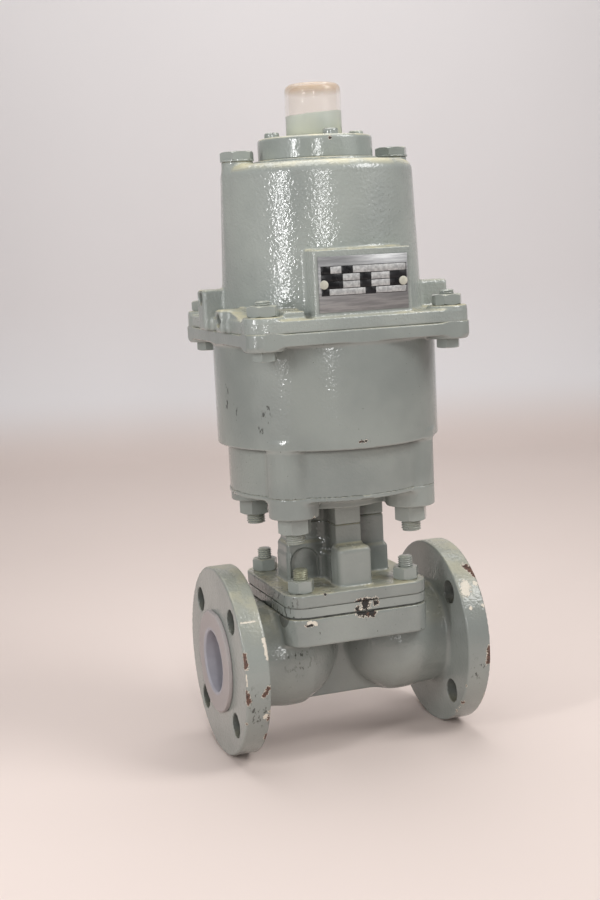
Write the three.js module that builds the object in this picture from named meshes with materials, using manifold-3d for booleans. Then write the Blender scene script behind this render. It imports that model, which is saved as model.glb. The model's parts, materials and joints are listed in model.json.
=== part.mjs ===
// Air-operated weir-type diaphragm valve, DN 50, with round pipe flanges and a spring-return
// piston actuator. Millimetres, +Z up the stem. The origin is the centre of the valve, where the
// stem axis meets the pipe axis. +X runs along the pipe to the outlet, and -Y is the nameplate
// side. The valve is shown closed: the spring holds the piston down and the compressor presses
// the diaphragm onto the weir.
import * as THREE from 'three';
import { mergeVertices } from 'three/addons/utils/BufferGeometryUtils.js';
import Module from 'manifold-3d';

const wasm = await Module();
wasm.setup();

// ---- Driving dimensions -------------------------------------------------------------------

const GAP = 0.3; // between pieces that fit inside one another
const TRAVEL = 22; // lift of the stem from closed to open
const FINE = 32; // sides of the large turned castings
const MEDIUM = 16;
const COARSE = 12; // sides of the small turned pieces and holes
const PISTON_SIDES = 24;

// Pipe flanges, 10K 50A
const FACE_TO_FACE = 210;
const FLANGE_OD = 155;
const FLANGE_THICK = 20;
const FLANGE_PCD = 120;
const FLANGE_HOLE_R = 9.5;
const BORE_R = 25;
const LINING = 3.5;
const FLARE_R = 42;
const FLARE_THICK = 4;

// Body casting
const NECK_R = 41;
const BOWL = { x: 50, z: 0, rx: 45, ry: 47, rz: 42.5 };
const PAD_HALF = 61;
const PAD_CORNER = 16;
const PAD_BOTTOM = 18;
const WEB = { halfLength: 60, halfThick: 5, bottom: -42, top: 10 };
const ELBOW_X = 42; // where the level bore turns up towards the diaphragm
const RISER = { topX: 20, topZ: 34, r: 20, widen: 1.3 };
const CHAMBER = { rimR: 38, flatR: 18, weirTop: 14 };

// Levels up the stem axis
const Z = {
  joint: 41, // body to diaphragm
  cushion: 42.5,
  bonnet: 49.5,
  bonnetTop: 60.5,
  towerStep: 84,
  yokeJoint: 109, // bonnet to actuator base
  hub: 125,
  base: 136.5,
  cylinder: 140,
  neckTop: 174,
  flange: 259.5,
  split: 269.5, // cylinder to spring case
  flangeTop: 279.5,
  lugTop: 282.5,
  shoulder: 388,
  roof: 390,
  caseTop: 398,
  cover: 401,
  coverTop: 418.5,
  domeTop: 460.5,
};

// Bonnet and yoke arms
const BONNET_BOLTS = 45.5;
const ARM_X = 42;
const ARM_Y = 38;
const ARM_HALF = 11;
const FOOT_REACH = 44.5;
const FOOT_HALF = 13.5;
const INLET_FOOT_TOP = 93; // the inlet arm's foot is taller than the others
const FRONT_BLOCK = { x0: -14.5, x1: 14, y: -53, back: -30, top: 93, round: 6 };

// Actuator
const YOKE_BOLTS = 50;
const YOKE_LUG_R = 20;
const YOKE_LUG_BOTTOM = 122.5;
const BASE_R = 83;
const HUB_R = 52;
const BASE_STEP = { r: 63, bottom: 132 };
const CYLINDER_R = 90.5;
const CYLINDER_BORE_R = 76;
const CYLINDER_FLOOR = 166; // top of the thick floor the piston stops above
const FLOOR_HOLE_R = 54;
const CYLINDER_NECK_R = 82.5;
const CASE_BOLTS = 76;
const CASE_LUG_R = 15.5;
const CASE_LUG_BOTTOM = 256.5;
const CYLINDER_FLANGE_HALF = 92;
const CASE_FLANGE_HALF = 91;
const FLANGE_CORNER = 16;
const CASE_R_LOW = 81;
const CASE_R_HIGH = 77;
const CASE_INNER_LOW = 73;
const CASE_INNER_HIGH = 69;
const PLUG_X = 66;
const PLUG_PAD_R = 12.5;
const COVER_R = 46;
const SPIGOT_R = 29.7;
const DOME_R = 22.5;
const DOME_WALL = 3;
const COVER_SCREWS = 36;

// Moving pieces, shown at the bottom of their travel
const STEM_R = 8;
const STEM_TOP_R = 7;
const PISTON_BOTTOM = 168;
const PISTON_R = 75;
const ROD_R = 4;
const ROD_TOP = 430;
const SPRING = { coilR: 52, wireR: 5.5, turns: 6.5, seat: 182 };

// Nameplate and its raised pad
const NAMEPLATE = { x: 1.5, z: 304, width: 73, height: 42, thick: 0.8, rivetX: 32.4 };
const PLATE_PAD = { half: 40, y: -88, depth: 18, top: 330 };

// Air ports: the casting's port blocks, with where each drilling starts
const PORTS = [
  { side: -1, face: 98, y0: 7, y1: 25, top: 302, drillZ: 295 },
  { side: -1, face: 98, y0: -37, y1: -22, top: 287.5, drillZ: 279 },
  { side: 1, face: 100, y0: -28, y1: -10, top: 301, drillZ: 294 },
];
const PORT_HOLE_R = 5.5;
const PORT_DEPTH = 14;
const PORT_INNER_X = 74;
// The ramp that runs from the lower inlet-side port block down to the lug in front of it
const PORT_RAMP = { x: -90, back: -36, backZ: 286.5, front: -64, frontZ: 281 };
// The raised bar on the case flange between the front left lug and the nameplate pad
const FLANGE_BAR = { x0: -62.5, x1: -45, y: -84, back: -48, top: 285.5 };

// Fasteners: radius, width across flats and the levels each one spans
const BONNET_STUD = { r: 6, bottom: 22, top: 79, flats: 19, nut: 10 };
const YOKE_STUD = { r: 8, bottom: 101, top: 162, flats: 24, nut: 13 };
const CASE_BOLT = { r: 6, top: 294.5, flats: 22, nut: 8.5, headFlats: 17, head: 7.5 };
const BASE_SCREW = { r: 4, at: 29, headR: 6.5, head: 8, bottom: 87 };
const TOP_PLUG = { r: 8, bottom: 388, flats: 24, head: 8, washerR: 13.5, washer: 1.5 };
const COVER_SCREW = { r: 3, headR: 6, head: 4.5, bottom: 393 };

// ---- Solid helpers ------------------------------------------------------------------------

// A closed solid from a closed three.js geometry.
function solid(geometry) {
  const bare = geometry.clone();
  bare.deleteAttribute('normal');
  bare.deleteAttribute('uv');
  const merged = mergeVertices(bare, 1e-4);
  const corners = Array.from(merged.index.array);
  const faces = [];
  for (let i = 0; i < corners.length; i += 3) {
    const [a, b, c] = corners.slice(i, i + 3);
    if (a !== b && b !== c && c !== a) faces.push(a, b, c);
  }
  const vertProperties = new Float32Array(merged.attributes.position.array);
  const triVerts = new Uint32Array(signedVolume(vertProperties, faces) < 0 ? faces.reverse() : faces);
  return new wasm.Manifold(new wasm.Mesh({ numProp: 3, vertProperties, triVerts }));
}

function signedVolume(positions, faces) {
  const [a, b, c] = [new THREE.Vector3(), new THREE.Vector3(), new THREE.Vector3()];
  let total = 0;
  for (let i = 0; i < faces.length; i += 3) {
    a.fromArray(positions, 3 * faces[i]);
    b.fromArray(positions, 3 * faces[i + 1]);
    c.fromArray(positions, 3 * faces[i + 2]);
    total += a.dot(b.cross(c)) / 6;
  }
  return total;
}

function geometryOf(manifold) {
  const { vertProperties, triVerts } = manifold.getMesh();
  const geometry = new THREE.BufferGeometry();
  geometry.setAttribute('position', new THREE.BufferAttribute(vertProperties, 3));
  geometry.setIndex(new THREE.BufferAttribute(triVerts, 1));
  geometry.computeVertexNormals();
  return geometry;
}

const join = (first, ...rest) => rest.reduce((sum, piece) => sum.add(piece), first);
const cut = (first, ...rest) => rest.reduce((left, piece) => left.subtract(piece), first);

// A solid of revolution about Z from a closed outline of [radius, height] points.
function turned(outline, sides = MEDIUM) {
  const points = outline.map(([r, z]) => new THREE.Vector2(r, z));
  const onAxis = outline[0][0] === 0 && outline.at(-1)[0] === 0;
  if (!onAxis) points.push(points[0].clone());
  const geometry = new THREE.LatheGeometry(points, sides);
  geometry.rotateX(Math.PI / 2);
  return solid(geometry);
}

function cylinder(r, z0, z1, x = 0, y = 0, sides = COARSE) {
  const geometry = new THREE.CylinderGeometry(r, r, z1 - z0, sides);
  geometry.rotateX(Math.PI / 2);
  geometry.translate(x, y, (z0 + z1) / 2);
  return solid(geometry);
}

function cylinderAlongX(r, x0, x1, y = 0, z = 0, sides = COARSE) {
  const geometry = new THREE.CylinderGeometry(r, r, Math.abs(x1 - x0), sides);
  geometry.rotateZ(Math.PI / 2);
  geometry.translate((x0 + x1) / 2, y, z);
  return solid(geometry);
}

function ring(inner, outer, z0, z1, sides = MEDIUM) {
  return turned([[inner, z0], [outer, z0], [outer, z1], [inner, z1]], sides);
}

function block(x0, x1, y0, y1, z0, z1) {
  const geometry = new THREE.BoxGeometry(Math.abs(x1 - x0), Math.abs(y1 - y0), z1 - z0);
  geometry.translate((x0 + x1) / 2, (y0 + y1) / 2, (z0 + z1) / 2);
  return solid(geometry);
}

function prism(shape, z0, z1, curveSegments = 2) {
  const options = { depth: z1 - z0, bevelEnabled: false, curveSegments };
  const geometry = new THREE.ExtrudeGeometry(shape, options);
  geometry.translate(0, 0, z0);
  return solid(geometry);
}

function roundedSquare(half, corner) {
  const shape = new THREE.Shape();
  const inner = half - corner;
  shape.absarc(inner, inner, corner, 0, Math.PI / 2);
  shape.absarc(-inner, inner, corner, Math.PI / 2, Math.PI);
  shape.absarc(-inner, -inner, corner, Math.PI, 1.5 * Math.PI);
  shape.absarc(inner, -inner, corner, 1.5 * Math.PI, 2 * Math.PI);
  return shape;
}

const ORIGIN = new THREE.Vector2();

function hexPrism(flats, z0, z1) {
  const corner = flats / Math.sqrt(3);
  const corners = Array.from({ length: 6 }, (_, i) => (i * Math.PI) / 3);
  const outline = corners.map((angle) => new THREE.Vector2(corner, 0).rotateAround(ORIGIN, angle));
  return prism(new THREE.Shape(outline), z0, z1);
}

// The four corners of a bolt square, counted anticlockwise from the front left one.
const squareOf = (a) => [[-a, -a], [a, -a], [a, a], [-a, a]];
const crossOf = (a) => [[-a, 0], [0, -a], [a, 0], [0, a]];

// The same small solid at each of several places, as one tool for cutting or joining.
const atEach = (places, make) => join(...places.map(([x, y]) => make(x, y)));

// ---- Body, lining and diaphragm -----------------------------------------------------------

// Half profile of the bowl under the diaphragm: flat in the middle, upright at the rim.
function bowl(rimR, flatR, flatZ, topZ, rimZ = Z.joint) {
  const steps = 4;
  const outline = [[0, flatZ]];
  for (let i = 0; i <= steps; i += 1) {
    const turn = (i / steps) * (Math.PI / 2);
    outline.push([flatR + (rimR - flatR) * Math.sin(turn), rimZ - (rimZ - flatZ) * Math.cos(turn)]);
  }
  outline.push([rimR, topZ], [0, topZ]);
  return turned(outline, MEDIUM);
}

// The flow passage, widened all round by grow: level bore, elbow and riser on each side, meeting
// in the chamber that the diaphragm closes.
function passage(grow, reach) {
  const r = BORE_R + grow;
  const parts = [-1, 1].map((side) => {
    const bore = cylinderAlongX(r, side * ELBOW_X, side * reach, 0, 0, MEDIUM);
    const elbow = new THREE.SphereGeometry(r, MEDIUM, MEDIUM / 2);
    elbow.rotateZ(Math.PI / 2);
    elbow.translate(side * ELBOW_X, 0, 0);
    return join(bore, solid(elbow), riser(side, grow));
  });
  const { rimR, flatR, weirTop } = CHAMBER;
  return join(...parts, bowl(rimR + grow, flatR + grow, weirTop - grow, Z.joint + 4));
}

function riser(side, grow) {
  const from = new THREE.Vector3(side * ELBOW_X, 0, 0);
  const to = new THREE.Vector3(side * RISER.topX, 0, RISER.topZ);
  const length = from.distanceTo(to);
  const geometry = new THREE.CylinderGeometry(RISER.r + grow, RISER.r + grow, length, MEDIUM);
  geometry.scale(1, 1, (RISER.r * RISER.widen + grow) / (RISER.r + grow));
  const up = new THREE.Vector3(0, 1, 0);
  const turn = new THREE.Quaternion().setFromUnitVectors(up, to.clone().sub(from).normalize());
  geometry.applyQuaternion(turn);
  geometry.translate(...from.add(to).divideScalar(2).toArray());
  return solid(geometry);
}

function pipeFlange(side) {
  const face = FACE_TO_FACE / 2;
  const r = FLANGE_OD / 2;
  const disc = cylinderAlongX(r, side * (face - FLANGE_THICK), side * face, 0, 0, FINE);
  const reach = FLANGE_PCD / 2 / Math.SQRT2;
  const holes = squareOf(reach).map(([y, z]) =>
    cylinderAlongX(FLANGE_HOLE_R, side * (face - FLANGE_THICK - 1), side * (face + 1), y, z));
  return cut(disc, ...holes);
}

function bowlCasting(side) {
  const geometry = new THREE.SphereGeometry(1, MEDIUM, MEDIUM / 2);
  geometry.rotateZ(Math.PI / 2);
  geometry.scale(BOWL.rx, BOWL.ry, BOWL.rz);
  geometry.translate(side * BOWL.x, 0, BOWL.z);
  return solid(geometry);
}

function valveBody() {
  const pad = prism(roundedSquare(PAD_HALF, PAD_CORNER), PAD_BOTTOM, Z.joint);
  const web = block(-WEB.halfLength, WEB.halfLength, -WEB.halfThick, WEB.halfThick, WEB.bottom, WEB.top);
  const neckEnd = FACE_TO_FACE / 2 - FLANGE_THICK / 2;
  const sides = [-1, 1].map((side) => {
    const neck = cylinderAlongX(NECK_R, side * ELBOW_X, side * neckEnd, 0, 0, MEDIUM);
    return join(pipeFlange(side), neck, bowlCasting(side));
  });
  const clear = PAD_HALF + 1;
  return cut(
    join(pad, web, ...sides),
    block(-clear, clear, -clear, clear, Z.joint, BOWL.rz + 10),
    passage(LINING + GAP, FACE_TO_FACE),
    atEach(squareOf(BONNET_BOLTS), (x, y) =>
      cylinder(BONNET_STUD.r + GAP, BONNET_STUD.bottom, Z.joint + 1, x, y)),
  );
}

// The corrosion-proof lining: it fills the casting's passage, folds out over both flange faces
// and covers the weir.
function bodyLining() {
  const face = FACE_TO_FACE / 2;
  const tube = passage(LINING, face + 1);
  const flares = [-1, 1].map((side) =>
    cylinderAlongX(FLARE_R, side * face, side * (face + FLARE_THICK), 0, 0, PISTON_SIDES));
  const envelope = block(-FACE_TO_FACE, FACE_TO_FACE, -PAD_HALF, PAD_HALF, -PAD_HALF, Z.joint);
  return cut(join(tube, ...flares).intersect(envelope), passage(0, FACE_TO_FACE));
}

// A clamped square sheet with four bolt holes and a bowl that hangs down to the weir.
function clampedSheet(z0, z1, outer, inner) {
  const sheet = prism(roundedSquare(PAD_HALF, PAD_CORNER), z0, z1);
  return cut(
    join(sheet, bowl(outer.rimR, outer.flatR, outer.z, z1)),
    bowl(inner.rimR, inner.flatR, inner.z, z1 + 5),
    atEach(squareOf(BONNET_BOLTS), (x, y) => cylinder(BONNET_STUD.r + 0.8, z0 - 1, z1 + 1, x, y)),
  );
}

const FACING = { rimR: CHAMBER.rimR - GAP, flatR: CHAMBER.flatR - GAP, z: CHAMBER.weirTop + GAP };
const deeper = (shell, by) => ({ rimR: shell.rimR - by, flatR: shell.flatR - by, z: shell.z + by });
const FACING_THICK = Z.cushion - Z.joint;
const CUSHION_THICK = 5;
const CUSHION_OUTER = deeper(FACING, FACING_THICK + GAP);
const CUSHION_INNER = deeper(CUSHION_OUTER, CUSHION_THICK);

const diaphragmFacing = () =>
  clampedSheet(Z.joint, Z.cushion, FACING, deeper(FACING, FACING_THICK));
const diaphragmCushion = () => clampedSheet(Z.cushion, Z.bonnet, CUSHION_OUTER, CUSHION_INNER);

// The compressor: a dished shoe with four fins that slide in the bonnet's slots.
const SHOE_TOP = 34;
const FIN = { half: 5, reach: 27, bottom: 32, top: 48 };
const SHOE_HUB_R = STEM_R + 5;
const STEM_BOTTOM = 30;

function compressor() {
  const shoe = deeper(CUSHION_INNER, GAP);
  const tall = bowl(shoe.rimR, shoe.flatR, shoe.z, Z.joint + 1);
  const dish = tall.intersect(cylinder(shoe.rimR + 1, 0, SHOE_TOP, 0, 0, MEDIUM));
  return cut(
    join(
      dish,
      block(-FIN.reach, FIN.reach, -FIN.half, FIN.half, FIN.bottom, FIN.top),
      block(-FIN.half, FIN.half, -FIN.reach, FIN.reach, FIN.bottom, FIN.top),
      cylinder(SHOE_HUB_R, FIN.bottom, FIN.top, 0, 0, MEDIUM),
    ),
    cylinder(STEM_R + GAP, STEM_BOTTOM, FIN.top + 1, 0, 0, MEDIUM),
  );
}

// ---- Bonnet and actuator base -------------------------------------------------------------

const CAVITY_TOP = 57;
const SLOT = { half: 6.5, reach: 33, top: FIN.top + TRAVEL + 3 };
const CORE_R = 17;
const BUSH = { inner: STEM_R + 0.2, outer: 11, bottom: 84 };

function plusOfArms(reachX, reachY, half, z0, z1) {
  return join(
    block(-reachX, reachX, -half, half, z0, z1),
    block(-half, half, -reachY, reachY, z0, z1),
    cylinder(CORE_R, z0, z1, 0, 0, MEDIUM),
  );
}

// The boss on the front arm, with its top corners rounded.
function frontBlock() {
  const { x0, x1, y, back, top, round } = FRONT_BLOCK;
  const outline = new THREE.Shape();
  outline.moveTo(x0, Z.bonnetTop - 1);
  outline.lineTo(x1, Z.bonnetTop - 1);
  outline.absarc(x1 - round, top - round, round, 0, Math.PI / 2);
  outline.absarc(x0 + round, top - round, round, Math.PI / 2, Math.PI);
  const options = { depth: back - y, bevelEnabled: false, curveSegments: 4 };
  const geometry = new THREE.ExtrudeGeometry(outline, options);
  geometry.rotateX(Math.PI / 2);
  geometry.translate(0, back, 0);
  return solid(geometry);
}

// The shallow arched pocket that gives a spanner room beside the inlet arm.
function archedPocket() {
  const pocket = new THREE.Shape();
  const arch = { x: -30, half: 12, z: 76, deep: 1.8 };
  pocket.moveTo(arch.x - arch.half, Z.bonnetTop);
  pocket.lineTo(arch.x + arch.half, Z.bonnetTop);
  pocket.absarc(arch.x, arch.z, arch.half, 0, Math.PI);
  const options = { depth: 10, bevelEnabled: false, curveSegments: 6 };
  const geometry = new THREE.ExtrudeGeometry(pocket, options);
  geometry.rotateX(Math.PI / 2);
  geometry.translate(0, arch.deep - FOOT_HALF, 0);
  return solid(geometry);
}

function bonnet() {
  const { half, reach, top } = SLOT;
  return cut(
    join(
      prism(roundedSquare(PAD_HALF, PAD_CORNER), Z.bonnet, Z.bonnetTop),
      plusOfArms(FOOT_REACH, FOOT_REACH, FOOT_HALF, Z.bonnetTop - 1, Z.towerStep),
      plusOfArms(ARM_X, ARM_Y, ARM_HALF, Z.towerStep - 1, Z.yokeJoint),
      block(-FOOT_REACH, 0, -FOOT_HALF, FOOT_HALF, Z.bonnetTop - 1, INLET_FOOT_TOP),
      frontBlock(),
    ),
    archedPocket(),
    cylinder(40, Z.bonnet - 1, CAVITY_TOP, 0, 0, MEDIUM),
    block(-reach, reach, -half, half, Z.bonnet, top),
    block(-half, half, -reach, reach, Z.bonnet, top),
    cylinder(SHOE_HUB_R + GAP, Z.bonnet - 1, top, 0, 0, MEDIUM),
    cylinder(STEM_R + 0.5, top - 1, Z.yokeJoint + 1, 0, 0, MEDIUM),
    cylinder(BUSH.outer + GAP, BUSH.bottom, Z.yokeJoint + 1, 0, 0, MEDIUM),
    atEach(squareOf(BONNET_BOLTS), (x, y) =>
      cylinder(BONNET_STUD.r + 0.8, Z.bonnet - 1, Z.bonnetTop + 1, x, y)),
    atEach(crossOf(BASE_SCREW.at), (x, y) =>
      cylinder(BASE_SCREW.r + GAP, BASE_SCREW.bottom, Z.yokeJoint + 1, x, y)),
  );
}

const SEAL = { outer: 12, bottom: 134, top: 139.5 };
const BASE_SEAL = { inner: 57.5, outer: 60, groove: 0.3, bottom: 137.5 };

function actuatorBase() {
  const plate = cylinder(BASE_R, Z.base, Z.cylinder, 0, 0, FINE);
  const step = cylinder(BASE_STEP.r, BASE_STEP.bottom, Z.base + 1, 0, 0, MEDIUM);
  const hub = cylinder(HUB_R, Z.hub, Z.base + 1, 0, 0, MEDIUM);
  const lugs = atEach(squareOf(YOKE_BOLTS), (x, y) =>
    cylinder(YOKE_LUG_R, YOKE_LUG_BOTTOM, Z.cylinder, x, y, MEDIUM));
  const { inner, outer, groove, bottom } = BASE_SEAL;
  return cut(
    join(plate, step, hub, lugs, plusOfArms(ARM_X, ARM_Y, ARM_HALF, Z.yokeJoint, Z.hub + 1)),
    cylinder(STEM_R + 0.5, Z.yokeJoint - 1, Z.cylinder, 0, 0, MEDIUM),
    cylinder(SEAL.outer + GAP, SEAL.bottom, Z.cylinder + 1, 0, 0, MEDIUM),
    ring(inner - groove, outer + groove, bottom, Z.cylinder + 1, MEDIUM),
    atEach(squareOf(YOKE_BOLTS), (x, y) =>
      cylinder(YOKE_STUD.r + 0.5, YOKE_LUG_BOTTOM - 1, Z.cylinder + 1, x, y)),
    atEach(crossOf(BASE_SCREW.at), (x, y) => join(
      cylinder(BASE_SCREW.r + 0.5, Z.yokeJoint - 1, Z.cylinder, x, y),
      cylinder(BASE_SCREW.headR + 0.5, Z.cylinder - BASE_SCREW.head, Z.cylinder + 1, x, y),
    )),
  );
}

// ---- Cylinder, spring case and cover ------------------------------------------------------

function cylinderCasting() {
  const outer = turned([
    [0, Z.cylinder],
    [CYLINDER_NECK_R, Z.cylinder],
    [CYLINDER_NECK_R, Z.neckTop],
    [CYLINDER_R, Z.neckTop + 4],
    [CYLINDER_R, Z.split - 1],
    [0, Z.split - 1],
  ], FINE);
  const ribs = atEach(squareOf(YOKE_BOLTS), (x, y) =>
    cylinder(YOKE_LUG_R, Z.cylinder, Z.neckTop + 4, x, y, MEDIUM));
  const flange = prism(roundedSquare(CYLINDER_FLANGE_HALF, FLANGE_CORNER), Z.flange, Z.split);
  const lugs = atEach(squareOf(CASE_BOLTS), (x, y) =>
    cylinder(CASE_LUG_R, CASE_LUG_BOTTOM, Z.split, x, y, MEDIUM));
  return cut(
    join(outer, ribs, flange, lugs),
    cylinder(CYLINDER_BORE_R, CYLINDER_FLOOR, Z.split + 1, 0, 0, FINE),
    cylinder(FLOOR_HOLE_R, Z.cylinder - 1, CYLINDER_FLOOR + 1, 0, 0, MEDIUM),
    atEach(squareOf(CASE_BOLTS), (x, y) =>
      cylinder(CASE_BOLT.r + 0.5, CASE_LUG_BOTTOM - 1, Z.split + 1, x, y)),
    atEach(squareOf(YOKE_BOLTS), (x, y) =>
      cylinder(YOKE_STUD.r + GAP, Z.cylinder - 1, YOKE_STUD.top, x, y)),
  );
}

function portBlock({ side, face, y0, y1, top }) {
  return block(side * PORT_INNER_X, side * face, y0, y1, Z.split, top);
}

function portHole({ side, face, y0, y1, drillZ }) {
  return cylinderAlongX(PORT_HOLE_R, side * (face - PORT_DEPTH), side * (face + 1), (y0 + y1) / 2, drillZ);
}

function flangeBar() {
  const { x0, x1, y, back, top } = FLANGE_BAR;
  return block(x0, x1, y, back, Z.split, top);
}

function portRamp() {
  const { x, back, backZ, front, frontZ } = PORT_RAMP;
  const side = new THREE.Shape([
    new THREE.Vector2(back, Z.split),
    new THREE.Vector2(back, backZ),
    new THREE.Vector2(front, frontZ),
    new THREE.Vector2(front, Z.split),
  ]);
  const options = { depth: -PORT_INNER_X - x, bevelEnabled: false };
  const geometry = new THREE.ExtrudeGeometry(side, options);
  geometry.rotateY(Math.PI / 2);
  geometry.rotateX(Math.PI / 2);
  geometry.translate(x, 0, 0);
  return solid(geometry);
}

function springCase() {
  const wall = turned([
    [0, Z.split],
    [CASE_R_LOW, Z.split],
    [CASE_R_HIGH, Z.shoulder],
    [CASE_R_HIGH - 4, Z.caseTop - 3],
    [CASE_R_HIGH - 10, Z.caseTop],
    [COVER_R + 4, Z.caseTop],
    [COVER_R + 4, Z.cover],
    [0, Z.cover],
  ], FINE);
  const hollow = turned([
    [0, Z.split - 1],
    [CASE_INNER_LOW, Z.split - 1],
    [CASE_INNER_HIGH, Z.shoulder - 5],
    [CASE_INNER_HIGH - 8, Z.roof],
    [0, Z.roof],
  ], PISTON_SIDES);
  const flange = prism(roundedSquare(CASE_FLANGE_HALF, FLANGE_CORNER), Z.split, Z.flangeTop);
  const lugs = atEach(squareOf(CASE_BOLTS), (x, y) =>
    cylinder(CASE_LUG_R, Z.split, Z.lugTop, x, y, MEDIUM));
  const { x } = NAMEPLATE;
  const { half, y, depth, top } = PLATE_PAD;
  const platePad = block(x - half, x + half, y, y + depth, Z.split, top);
  const plugPads = [-1, 1].map((side) =>
    cylinder(PLUG_PAD_R, Z.shoulder - 5, Z.cover, side * PLUG_X, 0, MEDIUM));
  const plateSeat = y - NAMEPLATE.thick;
  return cut(
    join(wall, flange, lugs, platePad, flangeBar(), portRamp(), ...plugPads, ...PORTS.map(portBlock)),
    hollow,
    cylinder(SPIGOT_R + GAP, Z.roof - 1, Z.cover + 1, 0, 0, PISTON_SIDES),
    ...PORTS.map(portHole),
    ...[-1, 1].map((side) =>
      cylinder(TOP_PLUG.r + GAP, Z.roof - 9, Z.cover + 1, side * PLUG_X, 0)),
    ...[-1, 1].map((side) => rivetBore(side, plateSeat, RIVET.length + 1)),
    atEach(squareOf(CASE_BOLTS), (bx, by) =>
      cylinder(CASE_BOLT.r + 0.5, Z.split - 1, Z.lugTop + 1, bx, by)),
    atEach(crossOf(COVER_SCREWS), (bx, by) =>
      cylinder(COVER_SCREW.r + GAP, COVER_SCREW.bottom, Z.cover + 1, bx, by)),
  );
}

function topCover() {
  const body = turned([
    [ROD_R + 0.5, Z.roof],
    [SPIGOT_R, Z.roof],
    [SPIGOT_R, Z.cover],
    [COVER_R, Z.cover],
    [COVER_R, Z.coverTop - 2],
    [COVER_R - 2, Z.coverTop],
    [DOME_R + GAP, Z.coverTop],
    [DOME_R + GAP, Z.coverTop - 4],
    [ROD_R + 0.5, Z.coverTop - 4],
  ], PISTON_SIDES);
  return cut(body, atEach(crossOf(COVER_SCREWS), (x, y) =>
    cylinder(COVER_SCREW.r + GAP, Z.cover - 1, Z.coverTop + 1, x, y)));
}

function indicatorDome() {
  const base = Z.coverTop - 4;
  const inner = DOME_R - DOME_WALL;
  return turned([
    [inner, base],
    [DOME_R, base],
    [DOME_R, Z.domeTop - 5],
    [DOME_R - 5, Z.domeTop],
    [0, Z.domeTop],
    [0, Z.domeTop - DOME_WALL],
    [inner - 3, Z.domeTop - DOME_WALL],
    [inner, Z.domeTop - DOME_WALL - 3],
  ], PISTON_SIDES);
}

// ---- Moving pieces and spring -------------------------------------------------------------

const PISTON_TOP = 190;
const HUB_TOP = 194;
const GROOVE = { bottom: 173, top: 180, r: 71 };
const NUT_TOP = 204;
const STEM_TOP = 210;

function stem() {
  return turned([
    [0, STEM_BOTTOM],
    [STEM_R, STEM_BOTTOM],
    [STEM_R, PISTON_BOTTOM],
    [STEM_TOP_R, PISTON_BOTTOM],
    [STEM_TOP_R, STEM_TOP],
    [0, STEM_TOP],
  ]);
}

function piston() {
  return turned([
    [STEM_TOP_R + GAP, PISTON_BOTTOM],
    [PISTON_R, PISTON_BOTTOM],
    [PISTON_R, GROOVE.bottom],
    [GROOVE.r, GROOVE.bottom],
    [GROOVE.r, GROOVE.top],
    [PISTON_R, GROOVE.top],
    [PISTON_R, PISTON_TOP],
    [66, PISTON_TOP],
    [66, SPRING.seat],
    [20, SPRING.seat],
    [18, HUB_TOP],
    [STEM_TOP_R + GAP, HUB_TOP],
  ], PISTON_SIDES);
}

const pistonSeal = () =>
  ring(GROOVE.r + GAP, PISTON_R + 0.5, GROOVE.bottom + GAP, GROOVE.top - GAP, PISTON_SIDES);
const pistonNut = () =>
  cut(hexPrism(24, HUB_TOP, NUT_TOP), cylinder(STEM_TOP_R + GAP, HUB_TOP - 1, NUT_TOP + 1, 0, 0, MEDIUM));

class Helix extends THREE.Curve {
  constructor(r, turns, z0, z1) {
    super();
    Object.assign(this, { r, turns, z0, z1 });
  }

  getPoint(t, target = new THREE.Vector3()) {
    const angle = 2 * Math.PI * this.turns * t;
    const z = this.z0 + (this.z1 - this.z0) * t;
    return target.set(this.r * Math.cos(angle), this.r * Math.sin(angle), z);
  }
}

function spring() {
  const { coilR, wireR, turns, seat } = SPRING;
  const section = new THREE.Shape();
  section.absarc(0, 0, wireR, 0, 2 * Math.PI);
  const path = new Helix(coilR, turns, seat + wireR + 2 * GAP, Z.roof - wireR - 2 * GAP);
  const options = { steps: turns * 10, curveSegments: 3, bevelEnabled: false, extrudePath: path };
  return solid(new THREE.ExtrudeGeometry(section, options));
}

// ---- Nameplate and fasteners --------------------------------------------------------------

const RIVET = { r: 1.6, headR: 3.4, head: 1.4, length: 8 };

function rivetBore(side, front, length) {
  const geometry = new THREE.CylinderGeometry(RIVET.r + GAP, RIVET.r + GAP, length, COARSE);
  geometry.translate(NAMEPLATE.x + side * NAMEPLATE.rivetX, front + length / 2, NAMEPLATE.z);
  return solid(geometry);
}

function nameplate() {
  const { x, z, width, height, thick } = NAMEPLATE;
  const front = PLATE_PAD.y - thick;
  const plate = block(x - width / 2, x + width / 2, front, PLATE_PAD.y, z - height / 2, z + height / 2);
  return cut(plate, ...[-1, 1].map((side) => rivetBore(side, front - 1, 4)));
}

// A drive rivet, head at the front (-Y) with its underside at the origin.
function rivet() {
  return turned([
    [0, -RIVET.length],
    [RIVET.r, -RIVET.length],
    [RIVET.r, 0],
    [RIVET.headR, 0],
    [RIVET.headR * 0.8, RIVET.head * 0.7],
    [0, RIVET.head],
  ], COARSE).rotate([90, 0, 0]);
}

function stud({ r, bottom, top }) {
  const tip = 1.5;
  return turned([
    [0, bottom],
    [r, bottom],
    [r, top - tip],
    [r - tip, top],
    [0, top],
  ], COARSE);
}

const nut = (flats, height, holeR) =>
  cut(hexPrism(flats, 0, height), cylinder(holeR, -1, height + 1));

function caseBolt() {
  const { r, top, headFlats, head } = CASE_BOLT;
  const shank = stud({ r, bottom: CASE_LUG_BOTTOM - 1, top });
  return join(shank, hexPrism(headFlats, CASE_LUG_BOTTOM - head, CASE_LUG_BOTTOM));
}

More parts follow.
